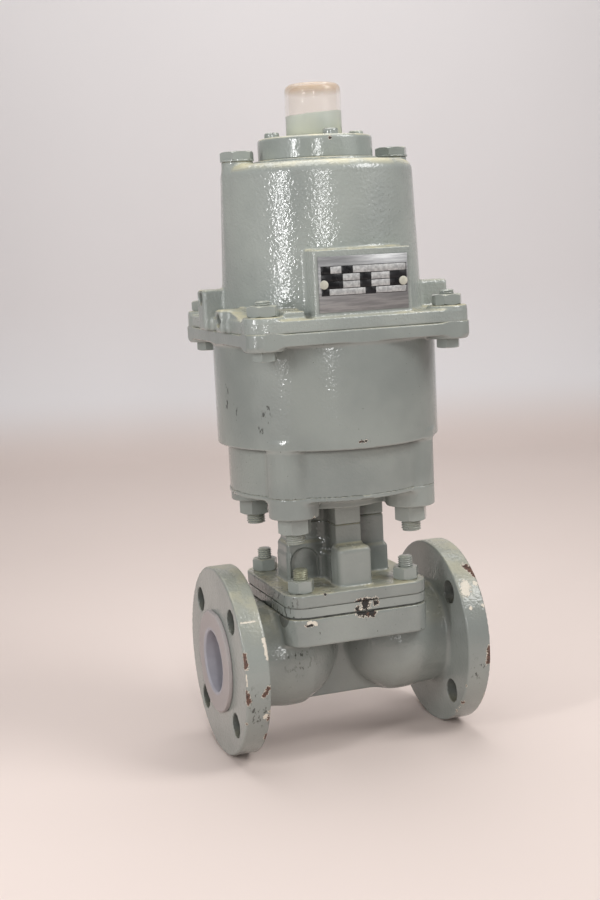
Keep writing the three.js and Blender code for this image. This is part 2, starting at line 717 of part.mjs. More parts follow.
function baseScrew() {
  const { r, headR, head, bottom } = BASE_SCREW;
  return turned([
    [0, bottom],
    [r, bottom],
    [r, Z.cylinder - head],
    [headR, Z.cylinder - head],
    [headR, Z.cylinder - GAP],
    [0, Z.cylinder - GAP],
  ], COARSE);
}

function topPlug() {
  const { r, bottom, flats, head, washerR, washer } = TOP_PLUG;
  return join(
    cylinder(r, bottom, Z.cover + 1),
    cylinder(washerR, Z.cover, Z.cover + washer, 0, 0, MEDIUM),
    hexPrism(flats, Z.cover + washer - 0.5, Z.cover + head),
  );
}

function coverScrew() {
  const { r, headR, head, bottom } = COVER_SCREW;
  return turned([
    [0, bottom],
    [r, bottom],
    [r, Z.coverTop],
    [headR, Z.coverTop],
    [headR, Z.coverTop + head * 0.5],
    [headR * 0.7, Z.coverTop + head],
    [0, Z.coverTop + head],
  ], COARSE);
}

// ---- Materials ----------------------------------------------------------------------------

const look = (color, roughness, metalness = 0) => () =>
  new THREE.MeshStandardMaterial({ color, roughness, metalness });
const paint = look(0x99a39b, 0.35);
const lining = look(0xcfcbe0, 0.5);
const rubber = look(0x1d1d1e, 0.8);
const ptfe = look(0xe9e7e0, 0.45);
const steel = look(0x9a9c9e, 0.35, 1);
const bronze = look(0xa98450, 0.4, 1);
const aluminium = look(0xc4c6c8, 0.4, 1);
const springSteel = look(0x4a5a50, 0.5, 0.6);
const clear = look(0xe8ebe6, 0.1);
const red = look(0xa0322a, 0.5);

// ---- Assembly -----------------------------------------------------------------------------

const valve = new THREE.Group();
const mover = new THREE.Group();
valve.add(mover);

function place(parent, name, shape, material, x = 0, y = 0, z = 0) {
  const mesh = new THREE.Mesh(shape.isBufferGeometry ? shape : geometryOf(shape), material());
  mesh.name = name;
  mesh.position.set(x, y, z);
  parent.add(mesh);
}

function placeFour(name, shape, material, places, z = 0) {
  const geometry = geometryOf(shape);
  places.forEach(([x, y], i) => place(valve, `${name}_${i + 1}`, geometry, material, x, y, z));
}

place(valve, 'valve_body', valveBody(), paint);
place(valve, 'body_lining', bodyLining(), lining);
place(valve, 'diaphragm_facing', diaphragmFacing(), ptfe);
place(valve, 'diaphragm_cushion', diaphragmCushion(), rubber);
place(valve, 'bonnet', bonnet(), paint);
place(valve, 'stem_bush', ring(BUSH.inner, BUSH.outer, BUSH.bottom, Z.yokeJoint), bronze);
place(valve, 'actuator_base', actuatorBase(), paint);
place(valve, 'stem_seal', ring(STEM_R + 0.2, SEAL.outer, SEAL.bottom, SEAL.top), rubber);
place(valve, 'base_seal', ring(BASE_SEAL.inner, BASE_SEAL.outer, BASE_SEAL.bottom, Z.cylinder), rubber);
place(valve, 'cylinder', cylinderCasting(), paint);
place(valve, 'spring_case', springCase(), paint);
place(valve, 'spring', spring(), springSteel);
place(valve, 'top_cover', topCover(), paint);
place(valve, 'indicator_dome', indicatorDome(), clear);
place(valve, 'nameplate', nameplate(), aluminium);

place(mover, 'compressor', compressor(), steel);
place(mover, 'stem', stem(), steel);
place(mover, 'piston', piston(), aluminium);
place(mover, 'piston_seal', pistonSeal(), rubber);
place(mover, 'piston_nut', pistonNut(), steel);
place(mover, 'indicator_rod', cylinder(ROD_R, STEM_TOP, ROD_TOP), red);

const bonnetCorners = squareOf(BONNET_BOLTS);
const yokeCorners = squareOf(YOKE_BOLTS);
const caseCorners = squareOf(CASE_BOLTS);
placeFour('bonnet_stud', stud(BONNET_STUD), paint, bonnetCorners);
placeFour('bonnet_nut', nut(BONNET_STUD.flats, BONNET_STUD.nut, BONNET_STUD.r + GAP), paint,
  bonnetCorners, Z.bonnetTop);
placeFour('yoke_stud', stud(YOKE_STUD), paint, yokeCorners);
placeFour('yoke_nut', nut(YOKE_STUD.flats, YOKE_STUD.nut, YOKE_STUD.r + GAP), paint,
  yokeCorners, YOKE_LUG_BOTTOM - YOKE_STUD.nut);
placeFour('case_bolt', caseBolt(), paint, caseCorners);
placeFour('case_nut', nut(CASE_BOLT.flats, CASE_BOLT.nut, CASE_BOLT.r + GAP), paint,
  caseCorners, Z.lugTop);
placeFour('base_screw', baseScrew(), steel, crossOf(BASE_SCREW.at));
placeFour('cover_screw', coverScrew(), paint, crossOf(COVER_SCREWS));
place(valve, 'top_plug_left', topPlug(), paint, -PLUG_X);
place(valve, 'top_plug_right', topPlug(), paint, PLUG_X);
for (const [label, side] of [['left', -1], ['right', 1]]) {
  const x = NAMEPLATE.x + side * NAMEPLATE.rivetX;
  const y = PLATE_PAD.y - NAMEPLATE.thick;
  place(valve, `nameplate_rivet_${label}`, rivet(), aluminium, x, y, NAMEPLATE.z);
}

export default valve;
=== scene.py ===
"""Looks for an air-operated diaphragm valve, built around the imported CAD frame.

Shapes are worked out in millimetres in the part's own frame, and turned into metres when a mesh
is made: the origin is where the stem axis meets the pipe axis, +X runs along the pipe, +Z up the
stem, and -Y points towards the nameplate.
"""

import json
import math

import bpy
import numpy as np
from mathutils import Matrix, Vector


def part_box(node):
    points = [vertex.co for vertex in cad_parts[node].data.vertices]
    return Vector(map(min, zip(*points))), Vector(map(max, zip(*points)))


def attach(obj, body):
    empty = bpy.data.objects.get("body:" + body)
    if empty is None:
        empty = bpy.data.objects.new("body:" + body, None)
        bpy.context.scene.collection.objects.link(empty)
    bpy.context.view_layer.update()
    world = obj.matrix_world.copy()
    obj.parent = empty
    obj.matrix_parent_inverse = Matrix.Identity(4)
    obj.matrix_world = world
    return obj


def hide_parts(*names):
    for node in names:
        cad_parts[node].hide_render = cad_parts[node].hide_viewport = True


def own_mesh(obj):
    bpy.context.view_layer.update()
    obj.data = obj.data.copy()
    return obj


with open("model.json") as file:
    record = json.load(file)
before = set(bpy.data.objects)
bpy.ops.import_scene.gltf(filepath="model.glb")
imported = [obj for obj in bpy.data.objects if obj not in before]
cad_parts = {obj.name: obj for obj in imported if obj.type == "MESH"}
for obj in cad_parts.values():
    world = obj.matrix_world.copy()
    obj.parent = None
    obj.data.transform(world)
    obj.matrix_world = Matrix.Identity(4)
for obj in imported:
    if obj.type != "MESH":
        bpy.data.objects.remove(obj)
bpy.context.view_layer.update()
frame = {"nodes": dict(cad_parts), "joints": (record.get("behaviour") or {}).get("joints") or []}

MM = 0.001
ROOT, MOVER = "housing", "plunger"
JOINT = frame["joints"][0]
TRAVEL = JOINT["range_m"][1] / MM


def span(node):
    """Lowest and highest corner of a CAD node, in millimetres."""
    low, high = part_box(node)
    return np.array(low) / MM, np.array(high) / MM


# ---- Driving dimensions, from the frame ----------------------------------------------------

FACE_X, FLANGE_R = span("valve_body")[1][:2]
BONNET_LOW, BONNET_HIGH = span("bonnet")
PAD_HALF = BONNET_HIGH[0]
BONNET_Z, TOWER_TOP = BONNET_LOW[2], BONNET_HIGH[2]
CUSHION_Z, JOINT_Z = BONNET_Z - 7, BONNET_Z - 8.5
NUT_SEAT_Z = span("bonnet_nut_1")[0][2]
BASE_LOW, BASE_HIGH = span("actuator_base")
BASE_R, BASE_TOP = BASE_HIGH[0], BASE_HIGH[2]
LUG_BOTTOM = span("yoke_nut_1")[1][2]
SPLIT_Z = span("cylinder")[1][2]
CYLINDER_HALF = span("cylinder")[1][0]
CASE_SEAT = span("spring_case")[1][2]
LUG_TOP = span("case_nut_1")[0][2]
CASE_LUG_BOTTOM = SPLIT_Z - 13
COVER_TOP = span("top_cover")[1][2]
COVER_R = span("top_cover")[1][0]
DOME_LOW, DOME_HIGH = span("indicator_dome")
DOME_R = DOME_HIGH[0]

FLANGE_THICK = 20
HOLE_CIRCLE_R = 60
HOLE_AT = HOLE_CIRCLE_R / math.sqrt(2)
FLANGE_HOLE_R = 9.5
BORE_R = 25
LINING_THICK = 3.5
GAP = 0.3
FLARE_R = 42
BONNET_BOLTS = 45.5
YOKE_BOLTS = 50
CASE_BOLTS = 76
PLUG_X = 66

# ---- Distance functions --------------------------------------------------------------------
# Each gives the signed distance to a shape, negative inside. Arguments are coordinate arrays.


def both(a, b, r=0.4):
    """What a and b share, with the edge between them rounded to radius r."""
    return np.minimum(-r, np.maximum(a, b)) + np.hypot(np.maximum(a + r, 0), np.maximum(b + r, 0))


def fuse(r, first, *rest):
    """The shapes joined, with a fillet of radius r where they meet."""
    for shape in rest:
        outside = np.hypot(np.maximum(r - first, 0), np.maximum(r - shape, 0))
        first = np.maximum(r, np.minimum(first, shape)) - outside
    return first


def carve(solid, tool, r=0.5):
    return both(solid, -tool, r)


def rod(u, v, w, r, low, high, edge=1.0):
    """A round bar along w."""
    return both(np.hypot(u, v) - r, np.maximum(low - w, w - high), edge)


def block(x, y, z, low, high, edge=1.0):
    sides = [
        np.abs(value - (a + b) / 2) - (b - a) / 2 + edge
        for value, a, b in zip((x, y, z), low, high)
    ]
    outside = np.sqrt(sum(np.maximum(side, 0) ** 2 for side in sides))
    inside = np.minimum(np.maximum(np.maximum(sides[0], sides[1]), sides[2]), 0)
    return outside + inside - edge


def plate(x, y, z, half, corner, low, high, edge=1.0):
    """A square plate with rounded corners."""
    u, v = np.abs(x) - half + corner, np.abs(y) - half + corner
    outline = np.hypot(np.maximum(u, 0), np.maximum(v, 0)) + np.minimum(np.maximum(u, v), 0)
    return both(outline - corner, np.maximum(low - z, z - high), edge)


def egg(x, y, z, centre, radii):
    parts = [(value - c) / r for value, c, r in zip((x, y, z), centre, radii)]
    near = np.sqrt(sum(part**2 for part in parts))
    slope = np.sqrt(sum((part / r) ** 2 for part, r in zip(parts, radii)))
    return near * (near - 1) / np.maximum(slope, 1e-6)


# ---- Meshing -------------------------------------------------------------------------------


def nets(shape, low, high, step):
    """Quads over the surface of shape inside the box low..high, one point to each cell crossed."""
    axes = [np.arange(a - 2 * step, b + 3 * step, step) for a, b in zip(low, high)]
    x, y, z = np.meshgrid(*axes, indexing="ij", sparse=True)
    values = shape(x, y, z)
    size = np.array(values.shape)
    strides = np.array([size[1] * size[2], size[2], 1])
    cells, points, flips = [], [], []
    for axis in range(3):
        ahead = np.roll(values, -1, axis)
        crossing = (values < 0) != (ahead < 0)
        last = [slice(None)] * 3
        last[axis] = -1
        crossing[tuple(last)] = False
        at = np.argwhere(crossing)
        a, b = values[crossing], ahead[crossing]
        point = at.astype(float)
        point[:, axis] += a / (a - b)
        u, v = strides[(axis + 1) % 3], strides[(axis + 2) % 3]
        cell = at @ strides
        cells.append(np.stack([cell, cell - u, cell - u - v, cell - v], axis=1))
        points.append(point)
        flips.append(a >= 0)
    cells, points, flips = map(np.concatenate, (cells, points, flips))
    _, faces = np.unique(cells, return_inverse=True)
    faces = faces.reshape(-1, 4)
    count = np.bincount(faces.ravel())
    where = np.stack(
        [np.bincount(faces.ravel(), np.repeat(points[:, i], 4)) / count for i in range(3)], axis=1
    )
    faces[flips] = faces[flips, ::-1]
    return np.array([a[0] for a in axes]) + where * step, faces


def slope_of(shape, points, reach=0.02):
    columns = []
    for axis in np.eye(3) * reach:
        ahead, behind = (points + axis).T, (points - axis).T
        columns.append((shape(*ahead) - shape(*behind)) / (2 * reach))
    return np.stack(columns, axis=1)


def unit(vectors):
    return vectors / np.maximum(np.linalg.norm(vectors, axis=1, keepdims=True), 1e-9)


def new_piece(name, vertices, faces, body, material, slot, replaces=()):
    """A mesh piece, from points in millimetres, that rides on a body."""
    mesh = bpy.data.meshes.new(name)
    mesh.from_pydata((np.asarray(vertices) * MM).tolist(), [], [list(face) for face in faces])
    mesh.shade_smooth()
    piece = bpy.data.objects.new(name, mesh)
    bpy.context.scene.collection.objects.link(piece)
    mesh.materials.append(material)
    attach(piece, body)
    if replaces:
        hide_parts(*replaces)
    return piece


def apply_modifiers(piece):
    graph = bpy.context.evaluated_depsgraph_get()
    made = bpy.data.meshes.new_from_object(piece.evaluated_get(graph))
    piece.modifiers.clear()
    piece.data = made


def casting(node, shape, low, high, step, share, material, slot="paint"):
    """A cast piece: the shape's surface, thinned where it is nearly flat, in place of its node."""
    points, faces = nets(shape, low, high, step)
    for _ in range(2):
        slope = slope_of(shape, points)
        size = np.maximum((slope**2).sum(axis=1), 0.25)
        move = slope * (shape(*points.T) / size)[:, None]
        points -= np.clip(move, -step / 2, step / 2)
    piece = new_piece(f"{node}_casting", points, faces, ROOT, material, slot, [node])
    thin = piece.modifiers.new("thin", "DECIMATE")
    thin.ratio = share
    apply_modifiers(piece)
    mesh = piece.data
    mesh.shade_smooth()
    corners = np.array([vertex.co for vertex in mesh.vertices]) / MM
    mesh.normals_split_custom_set_from_vertices(unit(slope_of(shape, corners)).tolist())
    return piece


def turned(name, profile, sides, body, material, slot, replaces=(), at=(0, 0)):
    """A solid of revolution about Z. The profile starts and ends on the axis, or closes up."""
    on_axis = profile[0][0] == 0 and profile[-1][0] == 0
    angles = np.arange(sides) * 2 * math.pi / sides
    points, rings = [], []
    for r, z in profile:
        if r == 0:
            rings.append([len(points)] * sides)
            points.append((at[0], at[1], z))
        else:
            rings.append(range(len(points), len(points) + sides))
            points += [(at[0] + r * math.cos(a), at[1] + r * math.sin(a), z) for a in angles]
    pairs = list(zip(rings, rings[1:])) + ([] if on_axis else [(rings[-1], rings[0])])
    faces = []
    for lower, upper in pairs:
        for i in range(sides):
            j = (i + 1) % sides
            face = [lower[i], lower[j], upper[j], upper[i]]
            faces.append(list(dict.fromkeys(face)))
    return new_piece(name, points, faces, body, material, slot, replaces)


def rounded(profile, r, steps=4):
    """The profile with each corner replaced by an arc of about radius r, the ends kept."""
    points = [np.array(p, float) for p in profile]
    result = [tuple(points[0])]
    for before, corner, after in zip(points, points[1:], points[2:]):
        reach = min(r, np.linalg.norm(before - corner) / 2, np.linalg.norm(after - corner) / 2)
        start = corner + (before - corner) / np.linalg.norm(before - corner) * reach
        end = corner + (after - corner) / np.linalg.norm(after - corner) * reach
        for i in range(steps + 1):
            t = i / steps
            result.append(tuple((1 - t) ** 2 * start + 2 * t * (1 - t) * corner + t * t * end))
    result.append(tuple(points[-1]))
    return result


def sharpen(piece, degrees=35):
    """Smooth shading except across edges steeper than this."""
    piece.data.set_sharp_from_angle(angle=math.radians(degrees))


# ---- Materials -----------------------------------------------------------------------------


class Nodes:
    """Short ways to add nodes to a new material."""

    def __init__(self, name):
        self.material = bpy.data.materials.new(name)
        self.material.use_nodes = True
        self.tree = self.material.node_tree
        self.shader = self.tree.nodes["Principled BSDF"]
        place = self.add("ShaderNodeNewGeometry")
        self.place, self.normal = place.outputs["Position"], place.outputs["Normal"]
        self.own = self.add("ShaderNodeTexCoord").outputs["Object"]

    def add(self, kind, **settings):
        node = self.tree.nodes.new(kind)
        for key, value in settings.items():
            setattr(node, key, value)
        return node

    def link(self, value, socket):
        if isinstance(value, bpy.types.NodeSocket):
            self.tree.links.new(value, socket)
        else:
            socket.default_value = value

    def noise(self, scale, detail=2.0, roughness=0.5, stretch=None):
        node = self.add("ShaderNodeTexNoise")
        vector = self.own
        if stretch:
            mapping = self.add("ShaderNodeMapping")
            self.link(vector, mapping.inputs["Vector"])
            mapping.inputs["Scale"].default_value = stretch
            vector = mapping.outputs["Vector"]
        self.link(vector, node.inputs["Vector"])
        node.inputs["Scale"].default_value = scale
        node.inputs["Detail"].default_value = detail
        node.inputs["Roughness"].default_value = roughness
        return node.outputs["Fac"]

    def math(self, operation, *values):
        node = self.add("ShaderNodeMath", operation=operation)
        for value, socket in zip(values, node.inputs):
            self.link(value, socket)
        return node.outputs[0]

    def vector(self, operation, *values):
        node = self.add("ShaderNodeVectorMath", operation=operation)
        for value, socket in zip(values, node.inputs):
            self.link(value, socket)
        return node.outputs["Value" if operation in ("DISTANCE", "DOT_PRODUCT") else "Vector"]

    def ramp(self, value, low, high, start=0.0, end=1.0):
        """value's range low..high carried to start..end with soft ends."""
        node = self.add("ShaderNodeMapRange", interpolation_type="SMOOTHSTEP")
        for key, item in zip((0, 1, 2, 3, 4), (value, low, high, start, end)):
            self.link(item, node.inputs[key])
        return node.outputs[0]

    def mix(self, share, a, b):
        node = self.add("ShaderNodeMix", data_type="RGBA")
        self.link(share, node.inputs["Factor"])
        for value, socket in ((a, node.inputs[6]), (b, node.inputs[7])):
            self.link((*value, 1) if isinstance(value, tuple) else value, socket)
        return node.outputs[2]

    def bump(self, height, strength, distance, onto=None):
        node = self.add("ShaderNodeBump")
        self.link(height, node.inputs["Height"])
        node.inputs["Strength"].default_value = strength
        node.inputs["Distance"].default_value = distance
        if onto is not None:
            self.link(onto, node.inputs["Normal"])
        return node.outputs["Normal"]

    def parts(self, vector):
        node = self.add("ShaderNodeSeparateXYZ")
        self.link(vector, node.inputs[0])
        return node.outputs

    def finish(self, color, roughness, normal=None, **fixed):
        self.link(color, self.shader.inputs["Base Color"])
        self.link(roughness, self.shader.inputs["Roughness"])
        if normal is not None:
            self.link(normal, self.shader.inputs["Normal"])
        for key, value in fixed.items():
            self.shader.inputs[key.replace("_", " ")].default_value = value
        return self.material


PAINT = (0.332, 0.357, 0.332)
PAINT_DARK = (0.260, 0.283, 0.267)
STAIN = (0.52, 0.48, 0.32)
# Near-black for grime specks and streaks, and also for painted shade in recesses.
GRIME_AND_SHADE = (0.035, 0.036, 0.030)
PRIMER = (0.74, 0.68, 0.58)
RUST = (0.135, 0.062, 0.040)
RUST_DARK = (0.050, 0.026, 0.018)
SCALE_BLACK = (0.012, 0.011, 0.009)


def nearest(n, marks):
    """Distance to the nearest mark, as a share of its radius. A mark is a spot or a streak."""
    depth = None
    for *ends, r in marks:
        start, end = Vector(ends[0]) * MM, Vector(ends[-1]) * MM
        near = n.vector("DISTANCE", n.own, start)
        if len(ends) == 2:
            way = end - start
            off = n.vector("SUBTRACT", n.own, start)
            share = n.vector("DOT_PRODUCT", off, way / way.length_squared)
            share = n.math("MINIMUM", n.math("MAXIMUM", share, 0.0), 1.0)
            foot = n.add("ShaderNodeVectorMath", operation="SCALE")
            foot.inputs[0].default_value = way
            n.link(share, foot.inputs["Scale"])
            near = n.vector("DISTANCE", off, foot.outputs["Vector"])
        near = n.math("DIVIDE", near, r * MM)
        depth = near if depth is None else n.math("MINIMUM", depth, near)
    return depth


def marked(n, color, chips, pale, scuffs):
    """Chips down to rusty iron, paler ones down to the primer, and scuffed dark streaks."""
    ragged = n.math("MULTIPLY_ADD", n.noise(520, 4, 0.65), 2.6, -1.3)
    bare = None
    if scuffs:
        near = n.ramp(nearest(n, scuffs), 1.0, 0.4)
        lines = n.ramp(n.noise(330, 4, 0.6, (1, 1, 0.45)), 0.57, 0.62)
        color = n.mix(n.math("MULTIPLY", n.math("MULTIPLY", lines, near), 0.85), color, GRIME_AND_SHADE)
    if pale:
        bare = n.ramp(n.math("ADD", nearest(n, pale), ragged), 1.0, 0.94)
        color = n.mix(bare, color, PRIMER)
    if chips:
        depth = n.math("ADD", nearest(n, chips), ragged)
        rim = n.ramp(depth, 1.0, 0.94)
        on_joint = n.ramp(n.math("ABSOLUTE", n.parts(n.own)[0]), 0.07, 0.06)
        rust = n.mix(n.ramp(n.noise(700, 3), 0.45, 0.6), RUST, RUST_DARK)
        rust = n.mix(n.math("MULTIPLY", on_joint, n.ramp(n.noise(330, 2), 0.62, 0.56)), rust, SCALE_BLACK)
        color = n.mix(n.ramp(depth, 0.80, 0.74), n.mix(rim, color, PRIMER), rust)
        bare = rim if bare is None else n.math("MAXIMUM", bare, rim)
    return color, bare


def paint_coat(name, chips=(), pale=(), scuffs=(), peel=0.5, stained=0.5, recess_shade=None, painted_light_level=1.0):
    """Thick gloss machinery paint: orange peel, yellowed tops, grime specks and chips, painted shade in
    recesses, and a per-casting level of painted light and shade.
    """
    n = Nodes(name)
    broad = n.ramp(n.noise(14, 3), 0.35, 0.7)
    # painted_light_level scales the paint colour: painted light on the high case and cover, painted shade on
    # the lower castings.
    light, dark = (tuple(painted_light_level * part for part in tone) for tone in (PAINT, PAINT_DARK))
    color = n.mix(broad, light, dark)
    up = n.parts(n.normal)[2]
    patches = n.ramp(n.noise(38, 4, 0.6), 0.40, 0.62)
    worn_top = n.math("MULTIPLY", n.ramp(up, 0.25, 0.9), n.math("MULTIPLY_ADD", patches, 0.65, 0.35))
    color = n.mix(n.math("MULTIPLY", worn_top, stained), color, STAIN)
    specks = n.ramp(n.noise(420, 2), 0.725, 0.75)
    where = n.ramp(n.noise(22, 2), 0.48, 0.6)
    color = n.mix(n.math("MULTIPLY", n.math("MULTIPLY", specks, where), 0.75), color, GRIME_AND_SHADE)
    # Painted shade: the recess mask darkens corners, holes and the space under ledges.
    if recess_shade:
        color = n.mix(recess_shade(n), color, GRIME_AND_SHADE)
    rough = n.math("MULTIPLY_ADD", broad, 0.07, 0.115)
    rough = n.math("MULTIPLY_ADD", worn_top, 0.25, rough)
    normal = n.bump(n.noise(150, 2, 0.55), peel * 0.25, 0.0009)
    normal = n.bump(n.noise(420, 1.5, 0.5), peel, 0.0005, normal)
    color, bare = marked(n, color, chips, pale, scuffs)
    if bare is not None:
        rough = n.math("MULTIPLY_ADD", bare, 0.45, rough)
        normal = n.bump(n.math("SUBTRACT", 1.0, bare), 0.8, 0.0003, normal)
    return n.finish(color, rough, normal, Specular_IOR_Level=0.7)


def shade_between_arms(n):
    """Painted shade round the stem, in the corners between the yoke arms."""
    x, y, z = n.parts(n.own)
    out = n.math("SQRT", n.math("ADD", n.math("MULTIPLY", x, x), n.math("MULTIPLY", y, y)))
    uneven = n.math("MULTIPLY_ADD", n.noise(60, 3), 0.012, -0.006)
    deep = n.ramp(n.math("ADD", out, uneven), 0.037, 0.022, 0.0, 0.72)
    return n.math("MULTIPLY", deep, n.ramp(z, 0.058, 0.064))


def shade_under_ledge(n):
    """Painted shade in the corner under the barrel."""
    x, y, z = n.parts(n.own)
    out = n.math("SQRT", n.math("ADD", n.math("MULTIPLY", x, x), n.math("MULTIPLY", y, y)))
    high = n.ramp(z, 0.1735, 0.177, 0.0, 0.55)
    return n.math("MULTIPLY", n.math("MULTIPLY", high, n.ramp(z, 0.1785, 0.1775)), n.ramp(out, 0.0875, 0.085))


def shade_inside_holes(n):
    """Painted shade down the flange holes."""
    _, y, z = n.parts(n.own)
    across = [n.math("SUBTRACT", n.math("ABSOLUTE", value), HOLE_AT * MM) for value in (y, z)]
    off = n.math("SQRT", n.math("ADD", *(n.math("MULTIPLY", value, value) for value in across)))
    return n.ramp(off, (FLANGE_HOLE_R + 0.9) * MM, (FLANGE_HOLE_R + 0.1) * MM, 0.0, 0.6)


def plain(name, light, dark, roughness, scale=60, metallic=0.0, bump=0.15, stretch=None, **fixed):
    """A surface with gentle colour and gloss variation and a fine grain."""
    n = Nodes(name)
    spread = n.noise(scale, 4, 0.6, stretch)
    color = n.mix(n.ramp(spread, 0.35, 0.65), light, dark)
    rough = n.math("MULTIPLY_ADD", spread, 0.16, roughness - 0.08)
    normal = n.bump(n.noise(scale * 9, 3, 0.5, stretch), bump, 0.0002)
    return n.finish(color, rough, normal, Metallic=metallic, **fixed)


def lining_material():
    """Pale lilac plastic, dulled to a dusty grey on the flange faces, with painted shade deep in the bore."""
    n = Nodes("lining_plastic")
    x, y, z = n.parts(n.own)
    out = n.math("SQRT", n.math("ADD", n.math("MULTIPLY", y, y), n.math("MULTIPLY", z, z)))
    dust = n.math("MULTIPLY", n.ramp(out, 0.0262, 0.029), n.ramp(n.math("ABSOLUTE", x), 0.102, 0.106))
    spread = n.noise(30, 4, 0.6)
    bore = n.mix(n.ramp(spread, 0.35, 0.65), (0.44, 0.43, 0.475), (0.37, 0.36, 0.40))
    # Painted shade: the bore darkens towards the middle of the body.
    bore = n.mix(n.ramp(n.math("ABSOLUTE", x), 0.09, 0.03, 0.0, 0.75), bore, (0.10, 0.10, 0.105))
    color = n.mix(dust, bore, n.mix(spread, (0.47, 0.43, 0.42), (0.40, 0.36, 0.355)))
    rough = n.math("MULTIPLY_ADD", dust, 0.25, 0.38)
    return n.finish(color, rough, n.bump(n.noise(260, 3), 0.2, 0.0002))


def dome_material():
    """Clear plastic with paint over its lower part, up to a slightly slanted edge."""
    n = Nodes("dome_plastic")
    x, _, z = n.parts(n.own)
    ragged = n.math("MULTIPLY_ADD", n.noise(300, 2), 0.0016, -0.0008)
    slant = n.math("MULTIPLY_ADD", x, DOME_PAINT["slant"], DOME_PAINT["z"] * MM)
    edge = n.math("ADD", slant, ragged)
    clear = n.ramp(n.math("SUBTRACT", z, edge), -0.0002, 0.0002)
    ring = n.ramp(z, DOME_HIGH[2] * MM - 0.010, DOME_HIGH[2] * MM - 0.003)
    coat = n.mix(n.noise(45, 3), (0.61, 0.65, 0.60), (0.55, 0.59, 0.54))
    plastic = n.mix(ring, (0.86, 0.74, 0.63), (0.62, 0.45, 0.28))
    cover = n.math("MULTIPLY_ADD", ring, 0.30, 0.16)
    thinner = n.math("MULTIPLY", clear, n.math("SUBTRACT", cover, 1.0))
    n.link(n.math("ADD", thinner, 1.0), n.shader.inputs["Alpha"])
    rough = n.math("MULTIPLY_ADD", n.noise(120, 3), 0.12, 0.04)
    normal = n.bump(n.noise(200, 2), 0.3, 0.0004)
    return n.finish(n.mix(clear, coat, plastic), rough, normal, Coat_Weight=0.5, Coat_Roughness=0.05)


DOME_PAINT = {"z": 437, "slant": 0.075}

BODY_CHIPS = [
    ((-3, -61, 41), (9, -61, 39), 3.6),
    ((-48, -60, 36), (-43, -61, 36), 1.4),
    ((-105, -74, 24), (-105, -76, 15), 3.0),
    ((-104, -76, -13), (-106, -77, -6), 3.0),
    ((-87, -77, -4), (-91, -77, -10), 2.2),
    ((-87, -72, -24), (-87, -70, -31), 1.8),
    ((-105, -70, -33), 1.8),
    ((-86, -62, -46), (-86, -58, -52), 1.6),
    ((100, -45, 63), (105, -53, 56), 3.4),
    ((104, -77, 0), (103, -77, -11), 3.0),
    ((83, -57, -53), (83, -50, -59), 2.6),
    ((86, -61, -48), 2.4),
    ((84, -71, -31), 2.0),
    ((105, -66, -40), (105, -50, -59), 1.5),
    ((28, -45, -17), 1.6),
]
BODY_PALE = [
    ((91, -62, 46), (93, -58, 51), 4.2),
    ((102, -58, 51), 2.4),
    ((92, -69, 34), 1.8),
    ((103, -69, 35), 1.5),
    ((-87, -70, 33), (-86, -75, 19), 1.7),
    ((-102, -62, 46), (-91, -62, 46), 0.8),
    ((-105, -77, 9), (-105, -77, 0), 1.0),
    ((-89, -72, -28), 2.6),
    ((-46, -61, 38), (-40, -61, 37), 1.8),
]
BODY_SCUFFS = [((-100, -76, -12), (-92, -72, -28), 13), ((94, -77, -16), 12), ((-50, -40, 5), 18)]
JOINT_CHIPS = [((-4, -61, 50), (12, -61, 50), 2.4), ((3, -61, 51), 3.0), ((-31, -61, 60), 1.8)]
BONNET_SCUFFS = [((-61, 20, 54), (-61, -50, 54), 16)]
CYLINDER_CHIPS = [((-8, -90, 183), (-2, -90, 183.5), 1.1)]
CYLINDER_SCUFFS = [
    ((-70, -57, 211), (-71, -56, 203), 6),
    ((-75, -51, 193), 5),
    ((-87, -26, 212), (-87, -26, 202), 6),
    ((-89, -14, 226), (-89, -14, 212), 5),
    ((-5, -90, 183), 7),
]
BASE_CHIPS = [((-40, -66, 122.5), 2.2), ((66, -58, 123), 2.2)]
COVER_CHIPS = [((-4, -46, 415), 1.6)]

# The last number is each casting's painted light and shade level: lighter up high, darker low down and among
# the yoke arms.
body_paint = paint_coat("body_paint", BODY_CHIPS, BODY_PALE, BODY_SCUFFS, 0.8, 0.6, shade_inside_holes, 0.95)
bonnet_paint = paint_coat("bonnet_paint", JOINT_CHIPS, (), BONNET_SCUFFS, 0.5, 0.85, shade_between_arms, 0.87)
base_paint = paint_coat("base_paint", BASE_CHIPS, peel=0.4, recess_shade=shade_between_arms, painted_light_level=0.96)
cylinder_paint = paint_coat(
    "cylinder_paint", CYLINDER_CHIPS, (), CYLINDER_SCUFFS, 0.45, 0.5, shade_under_ledge, 0.93
)
case_paint = paint_coat("case_paint", peel=1.0, stained=0.9, painted_light_level=1.07)
cover_paint = paint_coat("cover_paint", COVER_CHIPS, peel=0.5, stained=1.0, painted_light_level=1.07)
fastener_paint = paint_coat("fastener_paint", peel=0.3, stained=0.35)
lining_plastic = lining_material()
ptfe_sheet = plain("ptfe_sheet", (0.72, 0.71, 0.67), (0.6, 0.59, 0.55), 0.45, 50)
black_rubber = plain("black_rubber", (0.018, 0.018, 0.018), (0.03, 0.029, 0.028), 0.6, 80)
bronze = plain("bronze", (0.52, 0.34, 0.15), (0.42, 0.27, 0.12), 0.34, 70, 1.0)
steel = plain("machined_steel", (0.5, 0.5, 0.5), (0.4, 0.4, 0.41), 0.32, 90, 1.0)
spring_steel = plain("spring_steel", (0.06, 0.09, 0.075), (0.09, 0.12, 0.1), 0.4, 60, 0.3)
aluminium = plain("aluminium", (0.66, 0.66, 0.66), (0.55, 0.55, 0.55), 0.36, 80, 1.0)
indicator_red = plain("indicator_red", (0.5, 0.03, 0.02), (0.4, 0.025, 0.018), 0.35, 60)
